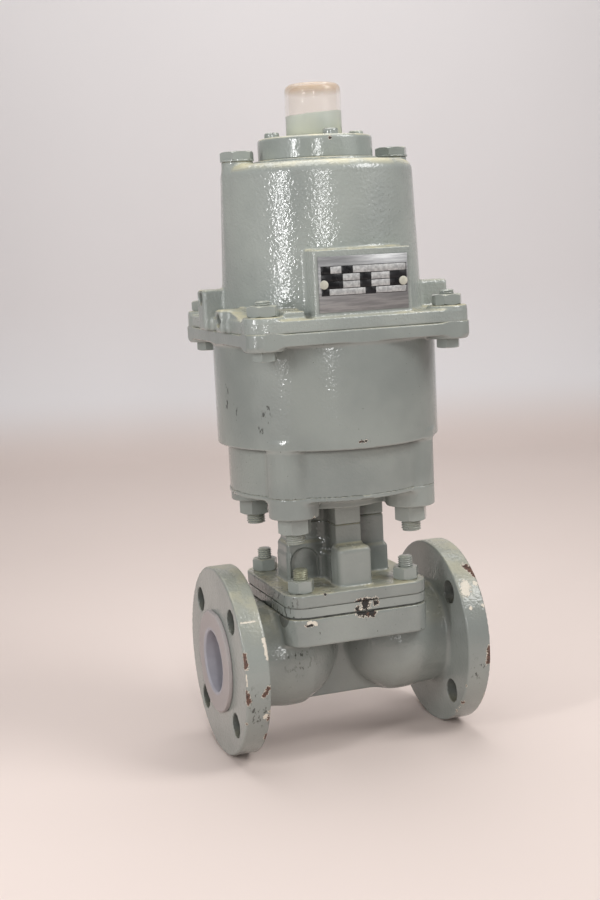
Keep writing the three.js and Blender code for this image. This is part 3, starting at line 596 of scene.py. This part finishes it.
dome_plastic = dome_material()
plate_metal = plain("plate_metal", (0.36, 0.36, 0.36), (0.24, 0.24, 0.245), 0.42, 40, 0.6, 0.25, (1, 1, 14))
plate_black = plain(
    "plate_black", (0.010, 0.010, 0.011), (0.022, 0.022, 0.024), 0.28, 120, Specular_IOR_Level=0.25
)
value_metal = plain("value_metal", (0.52, 0.52, 0.51), (0.33, 0.33, 0.33), 0.5, 420, 0.2, 0.3)


# ---- Castings ------------------------------------------------------------------------------


def passage(x, y, z, grow):
    """The flow passage, widened by grow: level bores, elbows, risers and the diaphragm's bowl."""
    ax = np.abs(x)
    elbow_x, riser_dx, riser_dz = 42, -22, 34
    reach = math.hypot(riser_dx, riser_dz)
    across = ((ax - elbow_x) * riser_dz - z * riser_dx) / reach
    along = ((ax - elbow_x) * riser_dx + z * riser_dz) / reach
    bore = both(np.hypot(y, z) - BORE_R - grow, elbow_x - ax)
    elbow = np.sqrt((ax - elbow_x) ** 2 + y**2 + z**2) - BORE_R - grow
    riser = both(np.hypot(across, y / 1.3) - 20 - grow, -along)
    rim, flat, weir = 38 + grow, 18 + grow, 14 - grow
    beyond = np.maximum(np.hypot(x, y) - flat, 0) / (rim - flat)
    below = np.maximum(JOINT_Z - z, 0) / (JOINT_Z - weir)
    bowl = (np.hypot(beyond, below) - 1) * (rim - flat)
    return fuse(3, bore, elbow, both(riser, z - JOINT_Z - 5), bowl)


def body_shape(x, y, z):
    ax = np.abs(x)
    inner = FACE_X - FLANGE_THICK
    flange = rod(y, z, ax, FLANGE_R, inner, FACE_X, 1.6)
    neck = rod(y, z, ax, 40.5, 40, inner + 5, 1)
    collar = rod(y, z, ax, 42.5, 62, inner + 5, 2)
    bowl = egg(ax, y, z, (49, 0, 0), (44, 46, 43))
    pad = plate(x, y, z, PAD_HALF, 16, 18, JOINT_Z, 1.5)
    web = block(x, y, z, (-60, -5, -42), (60, 5, 10), 2)
    pipe = fuse(2, fuse(9, neck, bowl), collar)
    solid = fuse(5, fuse(4.5, pipe, pad), web)
    solid = fuse(4, solid, flange)
    above = block(x, y, z, (-61.8, -70, JOINT_Z), (61.8, 70, JOINT_Z + 30), 0.2)
    solid = carve(solid, above, 1)
    holes = rod(np.abs(y) - HOLE_AT, np.abs(z) - HOLE_AT, ax, FLANGE_HOLE_R, inner - 5, FACE_X + 5)
    return carve(carve(solid, holes, 0.7), passage(x, y, z, LINING_THICK + GAP))


def lining_shape(x, y, z):
    ax = np.abs(x)
    flare = rod(y, z, ax, FLARE_R, FACE_X, FACE_X + 4, 0.9)
    solid = fuse(0.5, passage(x, y, z, LINING_THICK), flare)
    solid = both(solid, np.maximum(z - JOINT_Z, ax - FACE_X - 4), 0.6)
    return carve(solid, passage(x, y, z, 0), 1.6)


def cross(x, y, z, reach_x, reach_y, half, low, high, r, edge):
    """Two crossed arms round a core."""
    arms = (
        block(x, y, z, (-reach_x, -half, low), (reach_x, half, high), edge),
        block(x, y, z, (-half, -reach_y, low), (half, reach_y, high), edge),
        rod(x, y, z, 17, low, high, edge),
    )
    return fuse(r, *arms)


def bonnet_shape(x, y, z):
    flange = plate(x, y, z, PAD_HALF, 16, BONNET_Z, NUT_SEAT_Z, 1.6)
    lower = cross(x, y, z, 44.5, 44.5, 13.5, NUT_SEAT_Z - 4, 84, 5, 3)
    inlet_foot = block(x, y, z, (-44.5, -13.5, NUT_SEAT_Z - 4), (0, 13.5, 93), 3)
    upper = cross(x, y, z, 42, 38, 11, NUT_SEAT_Z, TOWER_TOP, 4, 1.2)
    front = both(
        block(x, y, z, (-14.5, -53, 50), (14, -30, 93), 5),
        np.maximum(-53 - y, NUT_SEAT_Z - 3 - z),
        1.2,
    )
    tower = fuse(2.5, lower, upper, inlet_foot, front)
    arch = np.where(z < 76, np.abs(x + 30) - 12, np.hypot(x + 30, z - 76) - 12)
    pocket = both(arch, np.maximum(y + 11.6, NUT_SEAT_Z + 0.5 - z), 1)
    solid = fuse(3, flange, carve(tower, pocket, 1.2))
    ax, ay = np.abs(x), np.abs(y)
    stud_holes = np.hypot(ax - BONNET_BOLTS, ay - BONNET_BOLTS) - 6.8
    slots = np.minimum(
        block(x, y, z, (-33, -6.5, 40), (33, 6.5, 73), 0.5),
        block(x, y, z, (-6.5, -33, 40), (6.5, 33, 73), 0.5),
    )
    inside = np.minimum(rod(x, y, z, 40, 40, 57), rod(x, y, z, 11.3, 84, 120))
    inside = np.minimum(inside, rod(x, y, z, 13.3, 40, 73))
    inside = np.minimum(inside, np.minimum(slots, np.hypot(x, y) - 8.5))
    return carve(carve(solid, stud_holes), inside)


def base_shape(x, y, z):
    ax, ay = np.abs(x), np.abs(y)
    disc = rod(x, y, z, BASE_R, 136.5, BASE_TOP, 0.5)
    step = rod(x, y, z, 63, 132, BASE_TOP - 1, 1)
    hub = rod(x, y, z, 52, 125, 134, 1.5)
    lug = rod(ax - YOKE_BOLTS, ay - YOKE_BOLTS, z, 19.9, LUG_BOTTOM, BASE_TOP, 1.4)
    arms = cross(x, y, z, 42, 38, 11, BASE_LOW[2], 127, 4, 1.2)
    solid = fuse(3, fuse(4, disc, lug), step, hub, arms)
    solid = both(solid, z - BASE_TOP, 0.25)
    holes = np.minimum(np.hypot(ax - YOKE_BOLTS, ay - YOKE_BOLTS) - 8.4, np.hypot(x, y) - 8.5)
    seal = rod(x, y, z, 12.3, 134, 150)
    return carve(solid, np.minimum(holes, seal))


def cylinder_shape(x, y, z):
    ax, ay = np.abs(x), np.abs(y)
    neck = rod(x, y, z, 82.5, BASE_TOP - 2, 182, 1)
    barrel = rod(x, y, z, 90.5, 177.5, SPLIT_Z - 2, 1)
    rib = rod(ax - YOKE_BOLTS, ay - YOKE_BOLTS, z, 20, BASE_TOP - 2, 184, 1)
    flange = plate(x, y, z, CYLINDER_HALF, 16, 259.5, SPLIT_Z, 1)
    lug = rod(ax - CASE_BOLTS, ay - CASE_BOLTS, z, 15.5, CASE_LUG_BOTTOM, SPLIT_Z, 1)
    body = fuse(2.5, fuse(1, neck, barrel), rib)
    solid = fuse(3, body, fuse(4, flange, lug))
    solid = both(np.maximum(solid, np.maximum(ax, ay) - CYLINDER_HALF), BASE_TOP - 0.5 - z, 0.2)
    inside = np.minimum(rod(x, y, z, 76, 166, 290), np.hypot(x, y) - 54)
    holes = np.hypot(ax - CASE_BOLTS, ay - CASE_BOLTS) - 6.6
    return carve(carve(solid, inside), holes)


def case_wall(x, y, z, low_r, high_r, low, high):
    share = np.clip((z - low) / (high - low), 0, 1)
    return np.hypot(x, y) - (low_r + (high_r - low_r) * share)


PORTS = [
    ((-98, 7, SPLIT_Z), (-74, 25, 302), -1, 16, 295),
    ((-98, -37, SPLIT_Z), (-74, -22, 287.5), -1, -29.5, 279),
    ((74, -28, SPLIT_Z), (100, -10, 301), 1, -19, 294),
]


def case_shape(x, y, z):
    ax, ay = np.abs(x), np.abs(y)
    wall = both(case_wall(x, y, z, 81, 77, 279, 388), z - 398, 9)
    wall = both(wall, SPLIT_Z - z, 0.5)
    seat = rod(x, y, z, 50, 380, CASE_SEAT, 1.2)
    plug_boss = rod(ax - PLUG_X, y, z, 12.5, 290, CASE_SEAT, 1)
    flange = plate(x, y, z, 91, 16, SPLIT_Z, 279.5, 1.4)
    lug = rod(ax - CASE_BOLTS, ay - CASE_BOLTS, z, 15.5, SPLIT_Z, LUG_TOP, 1.2)
    pad = block(x, y, z, (-38.5, -88, SPLIT_Z), (41.5, -60, 330), 1.2)
    solid = fuse(2, fuse(3.5, wall, plug_boss), seat)
    solid = fuse(3, solid, fuse(2.5, flange, lug))
    bar = block(x, y, z, (-62.5, -84, SPLIT_Z), (-45, -48, 285.5), 1.5)
    slope = (286.5 - 281) / (64 - 36)
    ramp = both(
        block(x, y, z, (-90, -64, SPLIT_Z), (-74, -36, 290), 1.5),
        (z - 286.5 - (y + 36) * slope) / math.hypot(1, slope),
        2,
    )
    solid = fuse(2.5, solid, pad, bar, ramp)
    for low, high, side, hole_y, hole_z in PORTS:
        solid = fuse(2.5, solid, block(x, y, z, low, high, 3))
    for low, high, side, hole_y, hole_z in PORTS:
        drill = rod(y - hole_y, z - hole_z, side * x, 5.5, 84, 120)
        solid = carve(solid, drill, 0.8)
    solid = np.maximum(solid, ay - CYLINDER_HALF)
    hollow = both(case_wall(x, y, z, 73, 69, SPLIT_Z, 383), z - 390, 5)
    inside = np.minimum(hollow, np.hypot(x, y) - 30)
    holes = np.hypot(ax - CASE_BOLTS, ay - CASE_BOLTS) - 6.6
    return carve(carve(solid, inside), holes)


EDGE = FACE_X + 4
casting("valve_body", body_shape, (-FACE_X, -78, -78), (FACE_X, 78, 78), 1.5, 0.4, body_paint)
casting(
    "body_lining", lining_shape, (-EDGE, -43, -43), (EDGE, 43, JOINT_Z), 1.3, 0.45, lining_plastic, "lining"
)
casting("bonnet", bonnet_shape, (-61, -61, BONNET_Z), (61, 61, TOWER_TOP), 1.2, 0.5, bonnet_paint)
casting("actuator_base", base_shape, (-83, -83, BASE_LOW[2]), (83, 83, BASE_TOP), 1.3, 0.4, base_paint)
casting("cylinder", cylinder_shape, (-92, -92, BASE_TOP), (92, 92, SPLIT_Z), 1.6, 0.35, cylinder_paint)
casting("spring_case", case_shape, (-99, -92, SPLIT_Z), (101, 92, CASE_SEAT), 1.5, 0.4, case_paint)

# ---- Cover, window and indicator -----------------------------------------------------------

SIDES = 96
COVER_LOW = span("top_cover")[0][2]
DOME_WALL = 3


def top_cover():
    socket_z = COVER_TOP - 4
    rim = [
        (COVER_R - 0.6, CASE_SEAT),
        (COVER_R, CASE_SEAT + 0.6),
        (COVER_R, COVER_TOP),
        (DOME_R + GAP, COVER_TOP),
    ]
    profile = [(4.5, COVER_LOW), (29.7, COVER_LOW), (29.7, CASE_SEAT)]
    profile += rounded(rim, 3.6, 6) + [(DOME_R + GAP, socket_z), (4.5, socket_z)]
    piece = turned("cover_cap", profile, SIDES, ROOT, cover_paint, "paint", ["top_cover"])
    sharpen(piece, 50)


def window():
    inner, top = DOME_R - DOME_WALL, DOME_HIGH[2]
    outside = rounded([(DOME_R, DOME_LOW[2]), (DOME_R, top), (0, top)], 7, 8)
    inside = rounded([(0, top - DOME_WALL), (inner, top - DOME_WALL), (inner, DOME_LOW[2])], 5, 8)
    turned("window_dome", outside[:-1] + [(0.4, top), (0.4, top - DOME_WALL)] + inside[1:], SIDES, ROOT,
           dome_plastic, "clear_cover", ["indicator_dome"])


def indicator():
    low, high = span("indicator_rod")
    r = high[0]
    profile = rounded([(0, low[2]), (r, low[2]), (r, high[2]), (0, high[2])], 1.5)
    turned("indicator_pin", profile, 32, MOVER, indicator_red, "indicator", ["indicator_rod"])


# ---- Fasteners -----------------------------------------------------------------------------


def threaded_bar(name, node, r, threads, pitch, material, slot, sides=24):
    """A bar along Z with helical threads over the height ranges given."""
    low, high = span(node)
    centre, (z0, z1) = (low + high)[:2] / 2, (low[2], high[2])
    levels = {z0, z0 + 0.8, z1 - 0.8, z1}
    for start, end in threads:
        levels |= set(np.arange(start, end, pitch / 5))
    levels = sorted(level for level in levels if z0 <= level <= z1)
    angles = np.arange(sides) * 2 * math.pi / sides
    points = []
    for z in levels:
        cut = any(start <= z <= end for start, end in threads)
        wave = 0.5 - 0.5 * np.cos(2 * math.pi * z / pitch - angles)
        chamfer = max(0.0, 0.8 - min(z - z0, z1 - z))
        ring = r - chamfer - wave * (0.55 * pitch if cut else 0)
        points += [
            (centre[0] + d * math.cos(a), centre[1] + d * math.sin(a), z) for d, a in zip(ring, angles)
        ]
    faces = [
        (k * sides + i, k * sides + (i + 1) % sides, (k + 1) * sides + (i + 1) % sides, (k + 1) * sides + i)
        for k in range(len(levels) - 1)
        for i in range(sides)
    ]
    top = (len(levels) - 1) * sides
    faces += [tuple(range(sides))[::-1], tuple(range(top, top + sides))]
    piece = new_piece(name, points, faces, ROOT, material, slot, [node])
    sharpen(piece, 60)
    return piece


def hex_collar(name, node, flats, hole_r, material, slot, replaces=None, chamfers=(True, True), at=None):
    """A hexagon nut or head with its corners turned off, in the height of its node."""
    low, high = span(node)
    centre, z0, z1 = (low + high)[:2] / 2, low[2], high[2]
    if at:
        z0, z1 = at
    count, face_r = 36, flats / 2
    angles = np.arange(count) * 2 * math.pi / count
    fold = (angles % (math.pi / 3)) - math.pi / 6
    outline = face_r / np.cos(fold)
    drop = np.maximum(outline - face_r * 0.97, 0) * 0.6
    rings = []
    inner = hole_r if hole_r else 0.01
    rings.append((np.full(count, inner), np.full(count, z0)))
    for end, sign, chamfer in ((z0, 1, chamfers[0]), (z1, -1, chamfers[1])):
        flat = (np.full(count, face_r * 0.94), np.full(count, end))
        side = (outline, end + sign * drop if chamfer else np.full(count, end))
        rings += [flat, side] if sign > 0 else [side, flat]
    rings.append((np.full(count, inner), np.full(count, z1)))
    points = []
    for radius, height in rings:
        points += [
            (centre[0] + d * math.cos(a), centre[1] + d * math.sin(a), h)
            for d, a, h in zip(radius, angles, height)
        ]
    faces = []
    for k in range(len(rings)):
        if k == len(rings) - 1 and not hole_r:
            continue
        for i in range(count):
            j, ahead = (i + 1) % count, (k + 1) % len(rings)
            faces.append((k * count + i, k * count + j, ahead * count + j, ahead * count + i))
    if not hole_r:
        last = (len(rings) - 1) * count
        faces += [tuple(range(count))[::-1], tuple(range(last, last + count))]
    piece = new_piece(name, points, faces, ROOT, material, slot, replaces or [])
    sharpen(piece, 24)
    return piece


def fasteners():
    for i in range(1, 5):
        nut_low, nut_high = span(f"bonnet_nut_{i}")
        stud_top = span(f"bonnet_stud_{i}")[1][2]
        bare = i == 1
        threaded_bar(f"bonnet_threads_{i}", f"bonnet_stud_{i}", 6, [(nut_high[2] - 1, stud_top)], 1.75,
                     bare_threads if bare else fastener_paint, "painted_fastener")
        hex_collar(f"bonnet_hexagon_{i}", f"bonnet_nut_{i}", 19, 6.1, fastener_paint, "painted_fastener",
                   [f"bonnet_nut_{i}"])
        stud_low = span(f"yoke_stud_{i}")[0][2]
        nut_low = span(f"yoke_nut_{i}")[0][2]
        threaded_bar(f"yoke_threads_{i}", f"yoke_stud_{i}", 8, [(stud_low, nut_low + 1)], 2,
                     fastener_paint, "painted_fastener")
        hex_collar(f"yoke_hexagon_{i}", f"yoke_nut_{i}", 24, 8.1, fastener_paint, "painted_fastener",
                   [f"yoke_nut_{i}"])
        bolt_low, bolt_high = span(f"case_bolt_{i}")
        nut_high = span(f"case_nut_{i}")[1][2]
        threaded_bar(f"case_threads_{i}", f"case_bolt_{i}", 6, [(nut_high - 1, bolt_high[2])], 1.75,
                     fastener_paint, "painted_fastener")
        hex_collar(f"case_head_{i}", f"case_bolt_{i}", 17, 0, fastener_paint, "painted_fastener",
                   at=(bolt_low[2], CASE_LUG_BOTTOM))
        hex_collar(f"case_hexagon_{i}", f"case_nut_{i}", 22, 6.1, fastener_paint, "painted_fastener",
                   [f"case_nut_{i}"])
        slotted_screw(i)
    for side in ("left", "right"):
        top_plug(side)


def slotted_screw(i):
    """A cover screw: a domed head with a screwdriver slot, on a plain shank."""
    low, high = span(f"cover_screw_{i}")
    centre = (low + high)[:2] / 2
    head_r, shank_r, head = (high - low)[0] / 2, 3, high[2] - COVER_TOP
    profile = rounded([(head_r, COVER_TOP), (head_r, high[2]), (0, high[2])], 2.4, 5)
    profile = [(0, low[2]), (shank_r, low[2]), (shank_r, COVER_TOP)] + profile
    piece = turned(f"cover_screw_head_{i}", profile, 32, ROOT, fastener_paint, "painted_fastener",
                   [f"cover_screw_{i}"], centre)
    turn = 0.5 + 0.9 * i
    cutter = bpy.data.meshes.new("slot_cutter")
    corners = [
        (sx * (head_r + 1), sy * 0.7, high[2] + 1 if sz > 0 else high[2] - head * 0.35)
        for sx in (-1, 1) for sy in (-1, 1) for sz in (-1, 1)
    ]
    faces = [(0, 1, 3, 2), (4, 6, 7, 5), (0, 4, 5, 1), (2, 3, 7, 6), (0, 2, 6, 4), (1, 5, 7, 3)]
    spin = Matrix.Rotation(turn, 3, "Z")
    place = Vector((*centre, 0))
    cutter.from_pydata([((spin @ Vector(c)) + place) * MM for c in corners], [], faces)
    tool = bpy.data.objects.new("slot_cutter", cutter)
    bpy.context.scene.collection.objects.link(tool)
    slot = piece.modifiers.new("slot", "BOOLEAN")
    slot.object, slot.operation, slot.solver = tool, "DIFFERENCE", "EXACT"
    apply_modifiers(piece)
    bpy.data.objects.remove(tool)
    piece.data.shade_smooth()
    sharpen(piece, 40)


def top_plug(side):
    """A hexagon plug with a flat washer face, on a plain shank."""
    node = f"top_plug_{side}"
    low, high = span(node)
    centre = (low + high)[:2] / 2
    washer = CASE_SEAT + 1.5
    profile = rounded([(8, CASE_SEAT), (13.4, CASE_SEAT), (13.4, washer), (0, washer)], 0.5, 3)
    turned(f"{node}_shank", [(0, low[2]), (8, low[2])] + profile, 48, ROOT, fastener_paint,
           "painted_fastener", [node], centre)
    piece = hex_collar(f"{node}_hexagon", node, 24, 0, fastener_paint, "painted_fastener",
                       at=(washer, high[2]), chamfers=(False, True))
    return piece


# ---- Diaphragm and spring ------------------------------------------------------------------


def bowl_curve(rim, flat, depth_z, steps=10):
    turns = np.linspace(0, math.pi / 2, steps + 1)
    return [
        (flat + (rim - flat) * math.sin(t), JOINT_Z - (JOINT_Z - depth_z) * math.cos(t)) for t in turns
    ]


def clamped_rim(name, node, low, high, hole_r, inset, material, slot):
    """The flat square part of a diaphragm sheet, which stays clamped."""
    corner, per_side = 16, 16
    outline = []
    for k in range(4 * per_side):
        angle = (k + 0.5) * 2 * math.pi / (4 * per_side)
        u, v = math.cos(angle), math.sin(angle)
        half = PAD_HALF - inset
        reach = half / max(abs(u), abs(v))
        x, y = u * reach, v * reach
        cx, cy = (math.copysign(max(abs(c) - (half - corner), 0), c) for c in (x, y))
        if abs(cx) > 0 and abs(cy) > 0:
            shrink = corner / math.hypot(cx, cy)
            x += cx * (min(shrink, 1) - 1)
            y += cy * (min(shrink, 1) - 1)
        outline.append((x, y))
    count = len(outline)
    angles = [math.atan2(y, x) for x, y in outline]
    loops = [
        [(x, y, low) for x, y in outline],
        [(x, y, high) for x, y in outline],
        [(hole_r * math.cos(a), hole_r * math.sin(a), high) for a in angles],
        [(hole_r * math.cos(a), hole_r * math.sin(a), low) for a in angles],
    ]
    points = [point for loop in loops for point in loop]
    faces = []
    for k in range(4):
        here, there = k * count, (k + 1) % 4 * count
        for i in range(count):
            j = (i + 1) % count
            faces.append((here + i, here + j, there + j, there + i))
    piece = new_piece(name, points, faces, ROOT, material, slot, [node])
    sharpen(piece)
    return piece


def membrane(name, outer, inner, top, material, slot):
    """The bowl of a diaphragm sheet."""
    profile = bowl_curve(*outer) + [(outer[0], top), (inner[0], top)] + bowl_curve(*inner)[::-1]
    profile = [(0.3, profile[0][1])] + profile + [(0.3, profile[-1][1])]
    piece = turned(name, profile, 64, ROOT, material, slot)
    sharpen(piece, 50)
    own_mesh(piece)
    return piece


def diaphragm():
    facing, cushion = (37.7, 17.7, 14.3), (35.9, 15.9, 16.1)
    clamped_rim("facing_rim", "diaphragm_facing", JOINT_Z, CUSHION_Z, 37.9, 0.9, facing_edge, "ptfe")
    membrane("facing_bowl", facing, (36.3, 16.3, 15.7), CUSHION_Z - 0.2, ptfe_sheet, "ptfe")
    clamped_rim("cushion_rim", "diaphragm_cushion", CUSHION_Z, BONNET_Z, 35.9, 0.2, cushion_edge, "rubber")
    membrane("cushion_bowl", cushion, (30.9, 11, 20.9), JOINT_Z + 0.8, black_rubber, "rubber")


def closing_spring():
    """The helical spring, with its end turns closed and ground flat."""
    low, high = span("spring")
    wire, coil = 5.5, (high[0] - low[0]) / 2 - 5.5
    turns, around = 7.5, 14
    count = int(turns * 40)
    bottom, top = low[2] + wire, high[2] - wire
    centres = []
    for k in range(count + 1):
        share = k / count
        angle = 2 * math.pi * turns * share
        lift = np.interp(share, [0, 0.1, 0.9, 1], [0, 0.035, 0.965, 1])
        height = bottom + (top - bottom) * lift
        centres.append((coil * math.cos(angle), coil * math.sin(angle), height, angle))
    points = []
    for x, y, z, angle in centres:
        for j in range(around):
            b = 2 * math.pi * j / around
            out, rise = wire * math.cos(b), wire * math.sin(b)
            height = min(max(z + rise, bottom - wire * 0.6), top + wire * 0.6)
            points.append((x + out * math.cos(angle), y + out * math.sin(angle), height))
    faces = []
    for k in range(count):
        here, there = k * around, (k + 1) * around
        for j in range(around):
            i = (j + 1) % around
            faces.append((here + j, there + j, there + i, here + i))
    faces += [tuple(range(around)), tuple(range(count * around, (count + 1) * around))[::-1]]
    piece = new_piece("closing_spring", points, faces, ROOT, spring_steel, "spring_steel", ["spring"])
    share = 1 - TRAVEL / (high[2] - low[2])
    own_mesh(piece)


# ---- Nameplate -----------------------------------------------------------------------------


def slab(low, high, edge):
    """Corner points and faces of a box with its front edges taken off."""
    (x0, y0, z0), (x1, y1, z1) = low, high
    points = []
    for inset, y in ((0, y1), (0, y0 + edge), (edge, y0)):
        left, right, bottom, top = x0 + inset, x1 - inset, z0 + inset, z1 - inset
        points += [(left, y, bottom), (right, y, bottom), (right, y, top), (left, y, top)]
    faces = [(0, 3, 2, 1), (8, 9, 10, 11)]
    for first in (0, 4):
        for i in range(4):
            j = (i + 1) % 4
            faces.append((first + i, first + j, first + 4 + j, first + 4 + i))
    return points, faces


PLATE_ROWS = [
    (0.165, 0.300, "k.k..", (0.0, 0.11, 0.24, 0.37, 0.99)),
    (0.310, 0.440, "k.k.k", (0.0, 0.25, 0.45, 0.58, 0.80)),
    (0.450, 0.575, "k.k.k", (0.0, 0.25, 0.45, 0.58, 0.80)),
    (0.585, 0.705, "k.k..", (0.0, 0.09, 0.51, 0.63, 0.99)),
]


def nameplate():
    """A plate of blank fields: black label cells and bare value cells, with no lettering."""
    low, high = span("nameplate")
    front, ink = low[1], 0.06
    points, faces = slab(low + (0, ink, 0), high, 0.25)
    new_piece("plate_blank", points, faces, ROOT, plate_metal, "nameplate", ["nameplate"])
    left, width = low[0] + 2, high[0] - low[0] - 3
    top, height = high[2] - 1, high[2] - low[2] - 2
    for row, (y0, y1, kinds, starts) in enumerate(PLATE_ROWS):
        ends = starts[1:] + (1.0,)
        for column, (kind, a, b) in enumerate(zip(kinds, starts, ends)):
            z1, z0 = top - y0 * height, top - y1 * height
            x0, x1 = left + a * width, left + b * width
            name = f"plate_cell_{row}_{column}"
            body = slab((x0, front, z0 - 0.35), (x1, front + ink, z1 + 0.35), 0.02)
            new_piece(name, *body, ROOT, plate_black, "nameplate")
            if kind == ".":
                body = slab((x0 + 0.2, front - 0.03, z0 + 0.1), (x1 - 0.2, front + ink, z1 - 0.1), 0.01)
                new_piece(f"{name}_value", *body, ROOT, value_metal, "nameplate")
    for side in ("left", "right"):
        drive_rivet(side)


def drive_rivet(side):
    node = f"nameplate_rivet_{side}"
    low, high = span(node)
    centre = (low + high) / 2
    head_r, seat = (high - low)[0] / 2, low[1] + 1.4
    profile = [(0, high[1]), (1.5, high[1]), (1.5, seat)]
    profile += rounded([(head_r, seat), (head_r, low[1] + 0.3), (0, low[1])], 0.9, 5)
    piece = turned(f"{node}_head", [(r, -y) for r, y in profile], 32, ROOT, rivet_metal, "aluminium", [node])
    piece.parent = None
    turn = Matrix.Rotation(math.pi / 2, 4, "X")
    piece.data.transform(Matrix.Translation((centre[0] * MM, 0, centre[2] * MM)) @ turn)
    piece.matrix_world = Matrix.Identity(4)
    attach(piece, ROOT)
    sharpen(piece)


# ---- Assembly ------------------------------------------------------------------------------

bare_threads = plain("bare_threads", (0.44, 0.45, 0.34), (0.3, 0.3, 0.22), 0.4, 200, 0.4)
facing_edge = plain("facing_edge", (0.03, 0.032, 0.03), (0.10, 0.11, 0.10), 0.6, 150)
CUSHION_CHIPS = [((3, -61, 47), 5.5), ((-4, -61, 44), 3.0), ((12, -61, 47), 3.0)]
CUSHION_SCUFFS = [((-61, 20, 46), (-61, -50, 46), 16)]
cushion_edge = paint_coat("cushion_edge_paint", CUSHION_CHIPS, (), CUSHION_SCUFFS, 0.25, 0.2)
rivet_metal = plain("rivet_enamel", (0.60, 0.59, 0.50), (0.45, 0.44, 0.37), 0.35, 150)

top_cover()
window()
indicator()
fasteners()
diaphragm()
closing_spring()
nameplate()

KEPT_NODES = {
    steel: ["stem", "compressor", "piston_nut"] + [f"base_screw_{i}" for i in range(1, 5)],
    aluminium: ["piston"],
    black_rubber: ["stem_seal", "base_seal", "piston_seal"],
    bronze: ["stem_bush"],
}
for material, names in KEPT_NODES.items():
    for name in names:
        for slot in frame["nodes"][name].material_slots:
            slot.material = material

# ---- Floor, light and camera ---------------------------------------------------------------


def backdrop_paper():
    """Pale paper, a little warmer where it lies flat."""
    n = Nodes("backdrop_paper")
    upright = n.ramp(n.parts(n.own)[2], -0.077, 0.04)
    spread = n.noise(3, 3)
    floor = n.mix(spread, (0.80, 0.69, 0.64), (0.77, 0.66, 0.61))
    wall = n.mix(spread, (0.90, 0.875, 0.88), (0.87, 0.845, 0.85))
    return n.finish(n.mix(upright, floor, wall), 0.85, n.bump(n.noise(40, 3), 0.05, 0.0005))


def backdrop():
    """A pale sheet that runs from the floor up behind the valve in one curve."""
    floor_z, depth, bend, wide, tall = -FLANGE_R * MM, 1.5, 0.3, 3.5, 2.4
    line = [(-2.5, floor_z), (depth, floor_z)]
    for k in range(1, 13):
        angle = k / 12 * math.pi / 2
        line.append((depth + bend * math.sin(angle), floor_z + bend * (1 - math.cos(angle))))
    line.append((depth + bend, floor_z + tall))
    mesh = bpy.data.meshes.new("backdrop")
    points = [(side * wide, y, z) for y, z in line for side in (-1, 1)]
    mesh.from_pydata(points, [], [(2 * i, 2 * i + 1, 2 * i + 3, 2 * i + 2) for i in range(len(line) - 1)])
    mesh.shade_smooth()
    sheet = bpy.data.objects.new("backdrop", mesh)
    sheet.rotation_euler.z = -math.radians(19)
    bpy.context.scene.collection.objects.link(sheet)
    mesh.materials.append(backdrop_paper())


def lamp(name, place, target, power, wide, tall, color=(1, 1, 1)):
    data = bpy.data.lights.new(name, "AREA")
    data.shape, data.energy, data.color = "RECTANGLE", power, color
    data.size, data.size_y = wide, tall
    light = bpy.data.objects.new(name, data)
    light.location = place
    aim = Vector(target) - Vector(place)
    light.rotation_euler = aim.to_track_quat("-Z", "Y").to_euler()
    bpy.context.scene.collection.objects.link(light)


def studio():
    middle = (0, 0, 0.25)
    lamp("key", (0.66, -0.62, 0.97), middle, 6.3, 0.5, 0.5, (1, 0.995, 0.985))
    lamp("strip_left", (-0.68, -0.37, 0.45), (0, 0, 0.36), 2.3, 0.05, 0.42)
    lamp("strip_front", (-0.33, -1.24, 0.48), (0, 0, 0.36), 3.0, 0.08, 0.5)
    lamp("fill_left", (-1.5, -0.35, 0.5), middle, 2.1, 1.1, 1.1, (1, 0.99, 0.985))
    lamp("fill_right", (1.5, -1.1, 0.9), middle, 3.0, 1.2, 1.2, (0.97, 0.985, 1))
    lamp("top", (0.0, 0.05, 1.0), middle, 4.8, 0.7, 0.7)
    lamp("wall", (0.25, 0.8, 1.5), (0.6, 1.8, 0.0), 10, 1.6, 0.6)
    world = bpy.data.worlds.new("studio")
    bpy.context.scene.world = world
    world.use_nodes = True
    world.node_tree.nodes["Background"].inputs["Color"].default_value = (0.95, 0.94, 0.95, 1)
    world.node_tree.nodes["Background"].inputs["Strength"].default_value = 0.17


def viewpoint():
    """The camera: its place, its heading east of +Y, its tilt down and its roll."""
    place = Vector((-0.418, -1.1169, 0.3442))
    heading, tilt, roll = (math.radians(angle) for angle in (19.39, 8.50, -2.75))
    ahead = Vector((math.sin(heading) * math.cos(tilt), math.cos(heading) * math.cos(tilt), -math.sin(tilt)))
    level = Vector((math.cos(heading), -math.sin(heading), 0))
    above = level.cross(ahead)
    right = level * math.cos(roll) + above * math.sin(roll)
    up = above * math.cos(roll) - level * math.sin(roll)
    data = bpy.data.cameras.new("camera")
    data.sensor_width, data.lens = 36, 58.3
    camera = bpy.data.objects.new("camera", data)
    turn = Matrix((right, up, -ahead)).transposed().to_4x4()
    camera.matrix_world = Matrix.Translation(place) @ turn
    bpy.context.scene.collection.objects.link(camera)
    bpy.context.scene.camera = camera


backdrop()
studio()
viewpoint()
bpy.context.scene.view_settings.view_transform = "Standard"
